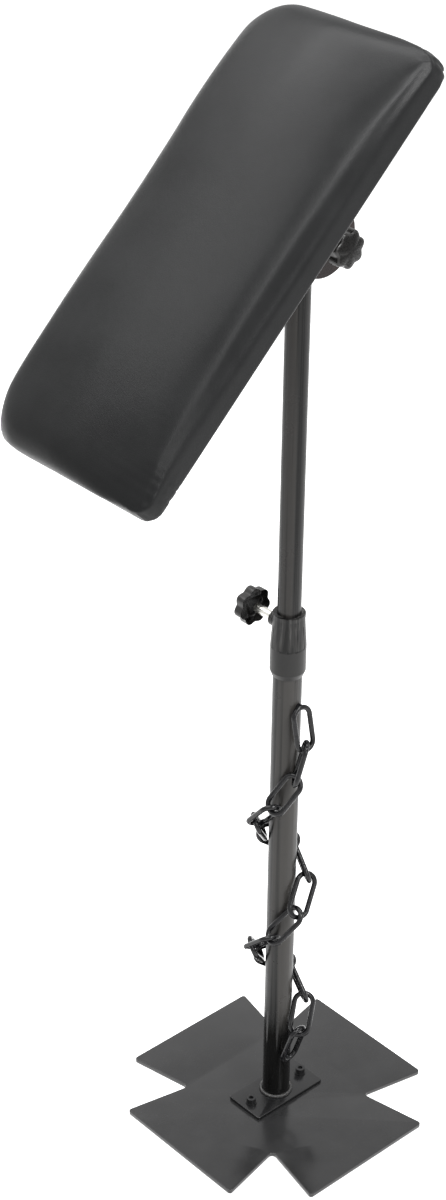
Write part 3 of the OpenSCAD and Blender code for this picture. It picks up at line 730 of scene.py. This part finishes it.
# How far out of the hub's side and above the head's back, or above the hub's end, its rings lie
HUB_ROOT = ((1.4, 0), (0.4, -0.3), (0, -1.2))
HUB_TIP = ((-0.2, 1.0), (-1.0, 0))
POCKET_DEPTH = 7
POCKET_MARGIN = 1.5
POCKET_HALF_TURN = 0.36
KNOB_EDGE_R = 0.35
FIRST_INSET = 0.001
BORE_R = 4.05
BOLT_BORE_R = 4.25
INSERT_R = 5.55
INSERT_DEPTH = 10.65
STUD_GRIP = 12
BOLT_GRIP = 18


def on_ring(vert):
    """The vertex's turn, kept to the knob's even spacing."""
    step = 2 * math.pi / (KNOB_LOBES * SEGMENTS_PER_LOBE)
    return round(math.atan2(vert.co.y, vert.co.x) / step) * step


def lobed(turn, radius, inset):
    """Reach of the rounded lobe outline, drawn in by an inset."""
    wave = (0.5 + 0.5 * math.cos(turn * KNOB_LOBES)) ** LOBE_FULLNESS
    return radius * (1 - VALLEY_SHARE * (1 - wave)) - inset


def add_ring(obj, reach, z):
    """Draws the chosen end face on to a new ring."""
    bpy.ops.mesh.inset(thickness=FIRST_INSET * MM)
    mesh = bmesh.from_edit_mesh(obj.data)
    for vert in {v for f in mesh.faces if f.select for v in f.verts}:
        turn = on_ring(vert)
        out = reach(turn) if callable(reach) else reach
        vert.co = Vector((out * math.cos(turn), out * math.sin(turn), z)) * MM
    bmesh.update_edit_mesh(obj.data)


def choose_end(mesh, test):
    """Selects the end face whose height passes a test."""
    choose(mesh, mesh.faces, lambda f: len(f.verts) > 4 and test(f.calc_center_median().z))


def make_knob(name, diameter, hub_from, bores, matrix):
    radius = diameter / 2
    low = hub_from + HUB_L
    high = low + HEAD_T
    middle = (low + high) / 2
    bpy.ops.mesh.primitive_cylinder_add(
        vertices=KNOB_LOBES * SEGMENTS_PER_LOBE, radius=radius * MM,
        depth=(HEAD_T - 2 * RIM_ROUND) * MM, location=(0, 0, middle * MM))
    knob = settle(named(name))
    mesh = start_edit(knob, "FACE")
    for vert in mesh.verts:
        turn = on_ring(vert)
        reach = lobed(turn, radius, 0) * MM
        vert.co.x, vert.co.y = reach * math.cos(turn), reach * math.sin(turn)
    # The face: a rounded rim and a low dome. The back's end lies above FACE_FROM too, so it is
    # drawn along with the face, and the hub and the bores below aren't made.
    choose_end(mesh, lambda z: z > (low + FACE_FROM) * MM)
    for step in range(1, FACE_STEPS + 1):
        swing = step / FACE_STEPS * math.pi / 2
        inset = RIM_ROUND * (1 - math.cos(swing))
        add_ring(knob, lambda t, i=inset: lobed(t, radius, i), high - RIM_ROUND * (1 - math.sin(swing)))
    for share in DOME_RINGS:
        rise = DOME_RISE * (1 - share * share)
        add_ring(knob, lambda t, s=share: s * lobed(t, radius, RIM_ROUND), high + rise)
    bpy.ops.mesh.merge(type="CENTER")
    # The back: its rim, the land that the pockets are sunk into, the hub and its bores
    mesh = bmesh.from_edit_mesh(knob.data)
    choose_end(mesh, lambda z: z < (low + BACK_TO) * MM)
    for step in range(1, BACK_STEPS + 1):
        swing = step / BACK_STEPS * math.pi / 2
        inset = BACK_ROUND * (1 - math.cos(swing))
        add_ring(knob, lambda t, i=inset: lobed(t, radius, i), low + RIM_ROUND * (1 - math.sin(swing)))
    add_ring(knob, lambda t: lobed(t, radius, BACK_ROUND + POCKET_MARGIN), low)
    for out, rise in HUB_ROOT:
        add_ring(knob, HUB_D / 2 + out, low + rise)
    for out, rise in HUB_TIP:
        add_ring(knob, HUB_D / 2 + out, hub_from + rise)
    depth = 0
    for bore, reach in bores:
        add_ring(knob, bore, hub_from + depth)
        depth = reach
        add_ring(knob, bore, hub_from + depth)
    # Pockets behind the lobes
    mesh = bmesh.from_edit_mesh(knob.data)
    step = 2 * math.pi / KNOB_LOBES

    def behind_lobe(face):
        centre = face.calc_center_median()
        if abs(centre.z - low * MM) > MM / 20 or len(face.verts) != 4:
            return False
        turn = math.atan2(centre.y, centre.x)
        off = abs((turn + step / 2) % step - step / 2)
        reach = math.hypot(centre.x, centre.y) / MM
        limit = lobed(turn, radius, BACK_ROUND + POCKET_MARGIN)
        return HUB_D / 2 + POCKET_MARGIN < reach < limit and off < POCKET_HALF_TURN * step

    choose(mesh, mesh.faces, behind_lobe)
    bpy.ops.mesh.extrude_region_move(TRANSFORM_OT_translate={"value": (0, 0, POCKET_DEPTH * MM)})
    end_edit()
    round_edges(knob, KNOB_EDGE_R, 2, 50)
    apply_all(knob)
    place(knob, matrix)
    smooth(knob, 40)
    return knob


ALONG_PLUS_X = Matrix.Rotation(math.radians(90), 4, "Y")
ALONG_MINUS_X = Matrix.Rotation(math.radians(-90), 4, "Y")
PAD_TURN = Matrix.Translation((0, 0, HINGE_H * MM)) @ Matrix.Rotation(TILT, 4, "X")
PAD_FRAME = PAD_TURN @ Matrix.Translation((0, -PAD_SHIFT * MM, PAD_OFFSET * MM))


# Pad: foam under leathercloth, pulled round a board and stapled beneath it.
# Its x runs across, y towards the high end, and z up from the board's underside.

BOARD_TOP = 14
BLOCK_T = PAD_T + 0.8
LOW_CORNER_R = 13
HIGH_CORNER_R = 38
SHOULDER_IN = 20
SHOULDER_H = 36
SHOULDER_FOOT = 15
LOWER_EDGE_R = 1.6
CORNER_SEGMENTS = 10
LOWER_EDGE_SEGMENTS = 3
SHARP_LOSS = 0.2

# Crown and lean of the top, and the draw of the ends
CROWN_EDGE = 12
MID_FALL = 7
NEAR_FALL = 19
NEAR_LEAN = 5
FAR_LEAN = 2
LEAN_H = 26
LEAN_FROM_X = 30
LEAN_TO_X = 74
HIGH_END_Y = 120
SQUARE_PULL = 3.5
END_DRAW = 0.6
END_DRAW_Z = 30
END_DRAW_X = 60
LOW_END_BULGE = 3.6
BULGE_Y = 150
BULGE_LOW_Z = 4
BULGE_HIGH_Z = 38

# Cloth simulation
VOXEL = 4.5
CLOTH_FRAMES = 20
CLOTH_CAP = 4
CLOTH_SHARE = 0.4
EVEN_ROUNDS = 8
FREE_BELOW = 6
FREE_ABOVE = 8
CLOTH_SETTINGS = {
    "quality": 6,
    "mass": 0.25,
    "tension_stiffness": 18,
    "compression_stiffness": 12,
    "shear_stiffness": 8,
    "bending_stiffness": 6,
    "shrink_min": 0.008,
    "use_pressure": True,
    "uniform_pressure_force": 4,
}

# Unevenness of the cover, its tugs and gathers, and its nick
BROAD_SWELL = 0.5
BROAD_SIZE = (70, 90, 60)
SMALL_SWELL = 0.12
SMALL_SIZE = (24, 24, 30)
SMALL_SHIFT = 5
TUG_DEPTH = 0.35
TUG_REACH = 0.2
TUG_FROM = 4
TUG_TO = 16
TUG_LOW_Z = 8
TUG_Z = 30
TUG_FADE = 16
TUG_FOLDS = 17
PLEAT_DEPTH = 2.0
PLEAT_REACH = 0.3
PLEAT_FOLDS = 13
PLEAT_SWAY = 5
PLEAT_FADE = 12
PLEAT_TOP_Z = 50
GATHER_DEPTH = 1.6
GATHER_FROM_Y = 140
GATHER_TO_Y = 174
GATHER_FADE = 14
GATHER_TOP_Z = 45
EDGE_PROUD = 0.3
FADE_H = 16
HEM_TURN_Z = 1.6
HEM_TURN_RIM = 1.5
HEM_STEP = 0.9
HEM_FOLD = 0.35
NICK = Vector((-28, -PAD_L / 2, 7))
NICK_REACH = (14, 12, 14)
NICK_DEPTH = 1.1


def soft_step(value, low, high):
    share = max(0.0, min(1.0, (value - low) / (high - low)))
    return share * share * (3 - 2 * share)


def crest_drop(y):
    """Drop of the pad's top along its length, in millimetres."""
    u = max(-1.0, min(1.0, y * 2 / PAD_L))
    return DIP_H * (1 - u * u) ** 4 + END_FALL * abs(u) ** 3


def near_fall(x, y):
    """Further drop of the top on the side with the tilt knob, more towards both ends."""
    u = min(1.0, abs(y) * 2 / PAD_L)
    across = max(0.0, x) * 2 / PAD_W
    return (MID_FALL + (NEAR_FALL - MID_FALL) * u ** 1.6) * across ** 1.3


def side_round(x, z):
    """How far a side leans in above the board, as foam does under a taut cover."""
    rise = max(0.0, min(1.0, (z - BOARD_TOP) / LEAN_H))
    lean = NEAR_LEAN if x > 0 else FAR_LEAN
    return math.copysign(lean * rise * soft_step(abs(x), LEAN_FROM_X, LEAN_TO_X), x)


def sharpen_corner(x, y, share):
    """Moves a point of a corner of the larger radius out to the smaller radius, by a share."""
    cx = PAD_W / 2 - HIGH_CORNER_R
    cy = PAD_L / 2 - HIGH_CORNER_R
    dx, dy = abs(x) - cx, abs(y) - cy
    if share <= 0 or dx <= 0 or dy <= 0:
        return x, y
    turn = math.atan2(dy, dx)
    c, s = math.cos(turn), math.sin(turn)
    small = HIGH_CORNER_R - LOW_CORNER_R
    if HIGH_CORNER_R * min(c, s) <= small * max(c, s):
        reach = HIGH_CORNER_R / max(c, s)
    else:
        reach = small * (c + s) + math.sqrt(LOW_CORNER_R ** 2 - (small * (c - s)) ** 2)
    grow = 1 + (reach / HIGH_CORNER_R - 1) * share
    return math.copysign(cx + dx * grow, x), math.copysign(cy + dy * grow, y)


def sharp_share(x, y, z):
    """How far a corner is drawn to the smaller radius: most at the board, and at one corner."""
    rise = max(0, min(1, (z - SHOULDER_FOOT) / SHOULDER_H))
    if x > 0 and y > 0:
        return 1 - SHARP_LOSS * rise
    return 1 - rise


def pad_point(x, y, z):
    """Where a point of the plain block lies on the pad, in millimetres."""
    x, y = sharpen_corner(x, y, sharp_share(x, y, z))
    y += SQUARE_PULL * soft_step(x, 0, PAD_W / 2) * soft_step(y, HIGH_END_Y, PAD_L / 2)
    drawn = soft_step(z, BOARD_TOP, END_DRAW_Z) * soft_step(y, HIGH_END_Y, PAD_L / 2)
    y -= END_DRAW * drawn * (1 - soft_step(x, 0, END_DRAW_X))
    y -= LOW_END_BULGE * soft_step(z, BULGE_LOW_Z, BULGE_HIGH_Z) * soft_step(-y, BULGE_Y, PAD_L / 2)
    share = max(0, min(1, (z - BOARD_TOP) / (BLOCK_T - BOARD_TOP)))
    across = min(1, abs(x) / (PAD_W / 2 - CROWN_EDGE))
    z -= share * (CROWN_H * across * across + crest_drop(y) + near_fall(x, y))
    x -= side_round(x, z)
    return x, y, z


def shape_pad_block():
    tall = BLOCK_T * MM
    bpy.ops.mesh.primitive_cube_add(size=1, location=(0, 0, tall / 2))
    pad = named("pad_upholstery")
    pad.scale = (PAD_W * MM, PAD_L * MM, tall)
    settle(pad)
    mesh = start_edit(pad, "EDGE")
    choose(mesh, mesh.edges, upright)
    bpy.ops.mesh.bevel(offset=HIGH_CORNER_R * MM, segments=CORNER_SEGMENTS, affect="EDGES")
    mesh = bmesh.from_edit_mesh(pad.data)
    choose(mesh, mesh.edges, lambda e: all(v.co.z > tall - MM for v in e.verts))
    bpy.ops.mesh.bevel(offset=SHOULDER_IN * MM, segments=CORNER_SEGMENTS, affect="EDGES")
    mesh = bmesh.from_edit_mesh(pad.data)
    choose(mesh, mesh.edges, lambda e: all(v.co.z < MM for v in e.verts))
    bpy.ops.mesh.bevel(offset=LOWER_EDGE_R * MM, segments=LOWER_EDGE_SEGMENTS, affect="EDGES")
    end_edit()
    return pad


def evened(pad, moves):
    """Averages the moves of neighbouring points, so that the cover lies taut on its foam."""
    beside = [[] for _ in moves]
    for edge in pad.data.edges:
        first, second = edge.vertices
        beside[first].append(second)
        beside[second].append(first)
    for _ in range(EVEN_ROUNDS):
        moves = [
            (move + sum((moves[other] for other in others), Vector())) / (1 + len(others))
            for move, others in zip(moves, beside)
        ]
    return moves


def free_share(z):
    """How free of the board the cover is at a height above the board's underside."""
    return soft_step(z, BOARD_TOP - FREE_BELOW, BOARD_TOP + FREE_ABOVE)


def swell(pad, held):
    """Fills the cover by cloth simulation, with its lower edge held to the board."""
    before = [vert.co.copy() for vert in pad.data.vertices]
    cloth_mod = pad.modifiers.new("cloth", "CLOTH")
    for key, value in CLOTH_SETTINGS.items():
        setattr(cloth_mod.settings, key, value)
    cloth_mod.settings.vertex_group_mass = held.name
    cloth_mod.settings.effector_weights.gravity = 0
    cloth_mod.point_cache.frame_start = 1
    cloth_mod.point_cache.frame_end = CLOTH_FRAMES
    scene = bpy.context.scene
    for step in range(1, CLOTH_FRAMES + 1):
        scene.frame_set(step)
    only(pad)
    bpy.ops.object.modifier_apply(modifier=cloth_mod.name)
    scene.frame_set(1)
    moves = [vert.co - start for vert, start in zip(pad.data.vertices, before)]
    for vert, start, move in zip(pad.data.vertices, before, evened(pad, moves)):
        if move.length > CLOTH_CAP * MM:
            move = move.normalized() * CLOTH_CAP * MM
        vert.co = start + move * CLOTH_SHARE * free_share(start.z / MM)


def past_corner(x, y):
    """How far a point lies past the centre of the nearest lower corner, each way."""
    return abs(x) - (PAD_W / 2 - LOW_CORNER_R), abs(y) - (PAD_L / 2 - LOW_CORNER_R)


def rim_at(x, y):
    """Distance in from the pad's lower outline, and the direction out of it."""
    dx, dy = past_corner(x, y)
    if dx > 0 and dy > 0:
        out = Vector((math.copysign(dx, x), math.copysign(dy, y), 0)).normalized()
        return LOW_CORNER_R - math.hypot(dx, dy), out
    if dx > dy:
        return LOW_CORNER_R - dx, Vector((math.copysign(1, x), 0, 0))
    return LOW_CORNER_R - dy, Vector((0, math.copysign(1, y), 0))


def wave(x, y, z, size, shift=0):
    return noise.noise(Vector((x / size[0] + shift, y / size[1], z / size[2])))


def tug(point, x, y, z):
    """Depth of the faint pulls round a corner's shoulder, in millimetres."""
    dx, dy = past_corner(x, y)
    turn = math.atan2(dy, dx)
    reach = math.hypot(dx, dy)
    if not -TUG_REACH < turn < math.pi / 2 + TUG_REACH or reach <= TUG_FROM or z <= TUG_LOW_Z:
        return 0
    window = soft_step(reach, TUG_FROM, TUG_TO) * math.exp(-abs(z - TUG_Z) / TUG_FADE)
    return TUG_DEPTH * window * math.sin(turn * TUG_FOLDS + 2 * noise.noise(point * 20))


def pleat(x, y, z):
    """Depth of the gathers at the lower corners, in millimetres."""
    dx, dy = past_corner(x, y)
    turn = math.atan2(dy, dx)
    if not -PLEAT_REACH < turn < math.pi / 2 + PLEAT_REACH:
        return 0
    window = math.sin((turn + PLEAT_REACH) / (math.pi / 2 + 2 * PLEAT_REACH) * math.pi)
    start = 2.4 * noise.noise(Vector((math.copysign(3, x), math.copysign(7, y), 0.5)))
    folds = math.sin(turn * PLEAT_FOLDS + start + 0.6 * math.sin(turn * PLEAT_SWAY + start))
    return PLEAT_DEPTH * folds * math.exp(-max(0, z) / PLEAT_FADE) * window


def side_gather(y, z):
    """Height of the folds along the side beside its low corner, in millimetres."""
    window = soft_step(-y, GATHER_FROM_Y, GATHER_TO_Y) * math.exp(-max(0, z) / GATHER_FADE)
    folds = 0.5 + 0.5 * math.sin(y * 0.9 + 1.5 * noise.noise(Vector((0.3, y / 12, z / 25))))
    return GATHER_DEPTH * folds * window


def ruffle_cover(pad):
    """Gives the cover its unevenness, tugs and gathers."""
    for vert, normal in [(v, v.normal.copy()) for v in pad.data.vertices]:
        x, y, z = (c / MM for c in vert.co)
        shift = tug(vert.co, x, y, z)
        if z > 1:
            shift += BROAD_SWELL * wave(x, y, z, BROAD_SIZE)
            shift += SMALL_SWELL * wave(x, y, z, SMALL_SIZE, SMALL_SHIFT)
        if z < PLEAT_TOP_Z:
            shift += pleat(x, y, z)
        if x > 0 and z < GATHER_TOP_Z:
            shift += side_gather(y, z)
        vert.co += normal * shift * MM


def clear_board(pad):
    """Keeps the cover's sides and lower edge clear of the board."""
    for vert in pad.data.vertices:
        x, y, z = (c / MM for c in vert.co)
        rim, out = rim_at(x, y)
        drop = min(max(0, LOWER_EDGE_R - z), LOWER_EDGE_R)
        limit = LOWER_EDGE_R - math.sqrt(LOWER_EDGE_R ** 2 - drop ** 2) - EDGE_PROUD
        if 0.15 < z < BOARD_TOP + FADE_H and limit < rim < 4:
            beside = 1 - soft_step(z, BOARD_TOP - 2, BOARD_TOP + 1)
            above = 1 - soft_step(z, BOARD_TOP - 2, BOARD_TOP + FADE_H)
            above *= 1 - soft_step(rim, 1, 4)
            vert.co += out * (rim - limit) * (beside + (1 - beside) * above) * MM


def turn_hem(pad):
    """Laps the hem on to the board's underside."""
    for vert in pad.data.vertices:
        x, y, z = (c / MM for c in vert.co)
        rim, _ = rim_at(x, y)
        if z < HEM_TURN_Z and rim > HEM_TURN_RIM:
            inward = soft_step(rim, HEM_W - 1, HEM_W + 2)
            fold = min(0, pleat(x, y, 0) * 0.3) if rim < HEM_W else 0
            vert.co.z = (HEM_STEP * inward + max(-HEM_FOLD, fold)) * MM


def nick_end(pad):
    """Dents a short nick where the cover was pulled over the low end."""
    for vert in pad.data.vertices:
        away = (vert.co - NICK * MM) / MM
        if all(abs(part) < reach for part, reach in zip(away, NICK_REACH)):
            dent = math.exp(-(away.x / 5) ** 2 - (away.z + away.x * 0.3) ** 2 / 9)
            vert.co.y += NICK_DEPTH * dent * MM


def make_pad():
    pad = shape_pad_block()
    add_modifier(pad, "REMESH", mode="VOXEL", voxel_size=VOXEL * MM)
    apply_all(pad)
    soft = pad.vertex_groups.new(name="soft")
    held = pad.vertex_groups.new(name="held")
    for vert in pad.data.vertices:
        x, y, z = pad_point(*(c / MM for c in vert.co))
        vert.co = Vector((x, y, z)) * MM
        free = free_share(z)
        if free > 0:
            soft.add([vert.index], free, "REPLACE")
        if free < 1:
            held.add([vert.index], 1 - free, "REPLACE")
    add_modifier(pad, "SMOOTH", factor=0.5, iterations=3, vertex_group="soft")
    apply_all(pad)
    swell(pad, held)
    add_modifier(pad, "SMOOTH", factor=0.5, iterations=4, vertex_group="soft")
    add_modifier(pad, "SUBSURF", levels=1, render_levels=1)
    apply_all(pad)
    pad.vertex_groups.clear()
    ruffle_cover(pad)
    clear_board(pad)
    turn_hem(pad)
    nick_end(pad)
    place(pad, PAD_FRAME)
    only(pad)
    bpy.ops.object.shade_smooth()
    finished(pad, "cradle", leather, "cover_leather", "pad_cover", "pad_foam")


# Dust cover: a thin sheet stapled over the hem, and sunk to the board inside it

DUST_CUTS_X = 56
DUST_CUTS_Y = 146
DUST_T = 0.2
DUST_LOW = -0.45
DUST_SINK = 1.15
DUST_SLOPE = 5
DUST_CREASE = 0.12


def make_dust_cover():
    rim = HEM_W - DUST_RIM_W
    wide = PAD_W - 2 * rim
    long = PAD_L - 2 * rim
    bpy.ops.mesh.primitive_grid_add(x_subdivisions=DUST_CUTS_X, y_subdivisions=DUST_CUTS_Y, size=1)
    sheet = named("dust_cover_sheet")
    sheet.scale = (wide * MM, long * MM, 1)
    settle(sheet)
    for vert in sheet.data.vertices:
        x, y = vert.co.x / MM, vert.co.y / MM
        edge = min(PAD_W / 2 - abs(x), PAD_L / 2 - abs(y))
        level = DUST_LOW + DUST_SINK * soft_step(edge, HEM_W, HEM_W + DUST_SLOPE)
        crease = DUST_CREASE * noise.noise(Vector((x / 18, y / 40, 2.0)))
        vert.co.z = (level - abs(crease)) * MM
    add_modifier(sheet, "SOLIDIFY", thickness=DUST_T * MM, offset=1)
    apply_all(sheet)
    place(sheet, PAD_FRAME)
    smooth(sheet, 50)
    finished(sheet, "cradle", cloth, "dust_cloth", "dust_cover")


make_base_plate()
make_flange()
make_foot_weld()
height_knob = make_knob(
    "height_knob_star", HEIGHT_KNOB_D, HEIGHT_HUB_END, ((BORE_R, STUD_GRIP),),
    Matrix.Translation((0, 0, BOSS_Z * MM)) @ ALONG_MINUS_X)
finished(height_knob, "height_grip", knob_plastic, "knob_plastic", "height_knob")
tilt_knob = make_knob(
    "tilt_knob_star", TILT_KNOB_D, TILT_HUB_END, ((INSERT_R, INSERT_DEPTH), (BOLT_BORE_R, BOLT_GRIP)),
    Matrix.Translation((0, 0, HINGE_H * MM)) @ ALONG_PLUS_X)
finished(tilt_knob, "tilt_grip", knob_plastic, "knob_plastic", "tilt_knob")
make_pad()
make_dust_cover()


# Stage: a pale floor that keeps the object's shadow, and a pale room. Sizes in metres.

FLOOR_HALF = 8
FLOOR_GAP = 0.0003
FLOOR_GREY = 0.82
FLOOR_LIFT = 0.75
ROOM_LIGHT = 0.30

# Lamps: name, place, height aimed at, width and height, and power in watts
LAMPS = (
    ("overhead_softbox", (-1.25, -0.9, 2.65), 0.8, (2.0, 1.0), 24),
    ("top_softbox", (-0.2, 0.25, 2.5), 0.9, (2.2, 0.6), 42),
    ("front_softbox", (0.1, -1.1, 2.3), 0.85, (1.2, 0.6), 11),
    ("key_softbox", (1.38, 0.15, 2.05), 0.95, (0.5, 0.6), 26),
    ("side_softbox", (1.75, -0.35, 1.5), 0.85, (0.35, 1.4), 14),
    ("left_strip", (-1.7, 0.5, 0.9), 0.6, (0.25, 1.8), 3),
)


def looked_at(tree):
    """1 for a ray from the camera, a mirror or through glass, and 0 for one that carries light."""
    path = tree.nodes.new("ShaderNodeLightPath")
    share = path.outputs["Is Camera Ray"]
    for name in ("Is Glossy Ray", "Is Transmission Ray"):
        either = tree.nodes.new("ShaderNodeMath")
        either.operation = "MAXIMUM"
        tree.links.new(share, either.inputs[0])
        tree.links.new(path.outputs[name], either.inputs[1])
        share = either.outputs[0]
    return share


def make_floor():
    bpy.ops.mesh.primitive_plane_add(size=2 * FLOOR_HALF, location=(0, 0, -FLOOR_GAP))
    floor = settle(named("studio_floor"))
    material = bpy.data.materials.new("pale_floor")
    material.use_nodes = True
    tree = material.node_tree
    tree.nodes.clear()
    output = tree.nodes.new("ShaderNodeOutputMaterial")
    matt = tree.nodes.new("ShaderNodeBsdfDiffuse")
    matt.inputs["Color"].default_value = (FLOOR_GREY, FLOOR_GREY, FLOOR_GREY, 1)
    lift = tree.nodes.new("ShaderNodeEmission")
    seen = tree.nodes.new("ShaderNodeMath")
    seen.operation = "MULTIPLY"
    seen.inputs[1].default_value = FLOOR_LIFT
    both = tree.nodes.new("ShaderNodeAddShader")
    tree.links.new(looked_at(tree), seen.inputs[0])
    tree.links.new(seen.outputs[0], lift.inputs["Strength"])
    tree.links.new(matt.outputs[0], both.inputs[0])
    tree.links.new(lift.outputs[0], both.inputs[1])
    tree.links.new(both.outputs[0], output.inputs["Surface"])
    floor.data.materials.append(material)


def make_room():
    world = bpy.data.worlds.new("pale_room")
    bpy.context.scene.world = world
    world.use_nodes = True
    tree = world.node_tree
    tree.nodes.clear()
    output = tree.nodes.new("ShaderNodeOutputWorld")
    background = tree.nodes.new("ShaderNodeBackground")
    level = tree.nodes.new("ShaderNodeMapRange")
    level.inputs["To Min"].default_value = ROOM_LIGHT
    level.inputs["To Max"].default_value = 1.0
    tree.links.new(looked_at(tree), level.inputs["Value"])
    tree.links.new(level.outputs["Result"], background.inputs["Strength"])
    background.inputs["Color"].default_value = (1, 1, 1, 1)
    tree.links.new(background.outputs[0], output.inputs["Surface"])


def softbox(name, at, aim_height, size, power):
    data = bpy.data.lights.new(name, "AREA")
    data.shape = "RECTANGLE"
    data.size, data.size_y = size
    data.energy = power
    lamp = bpy.data.objects.new(name, data)
    bpy.context.scene.collection.objects.link(lamp)
    lamp.location = at
    lamp.rotation_mode = "QUATERNION"
    aim = Vector((0, 0, aim_height)) - Vector(at)
    lamp.rotation_quaternion = aim.to_track_quat("-Z", "Y")
    lamp.visible_camera = False


make_floor()
make_room()
for lamp_row in LAMPS:
    softbox(*lamp_row)

bpy.context.scene.view_settings.view_transform = "Standard"
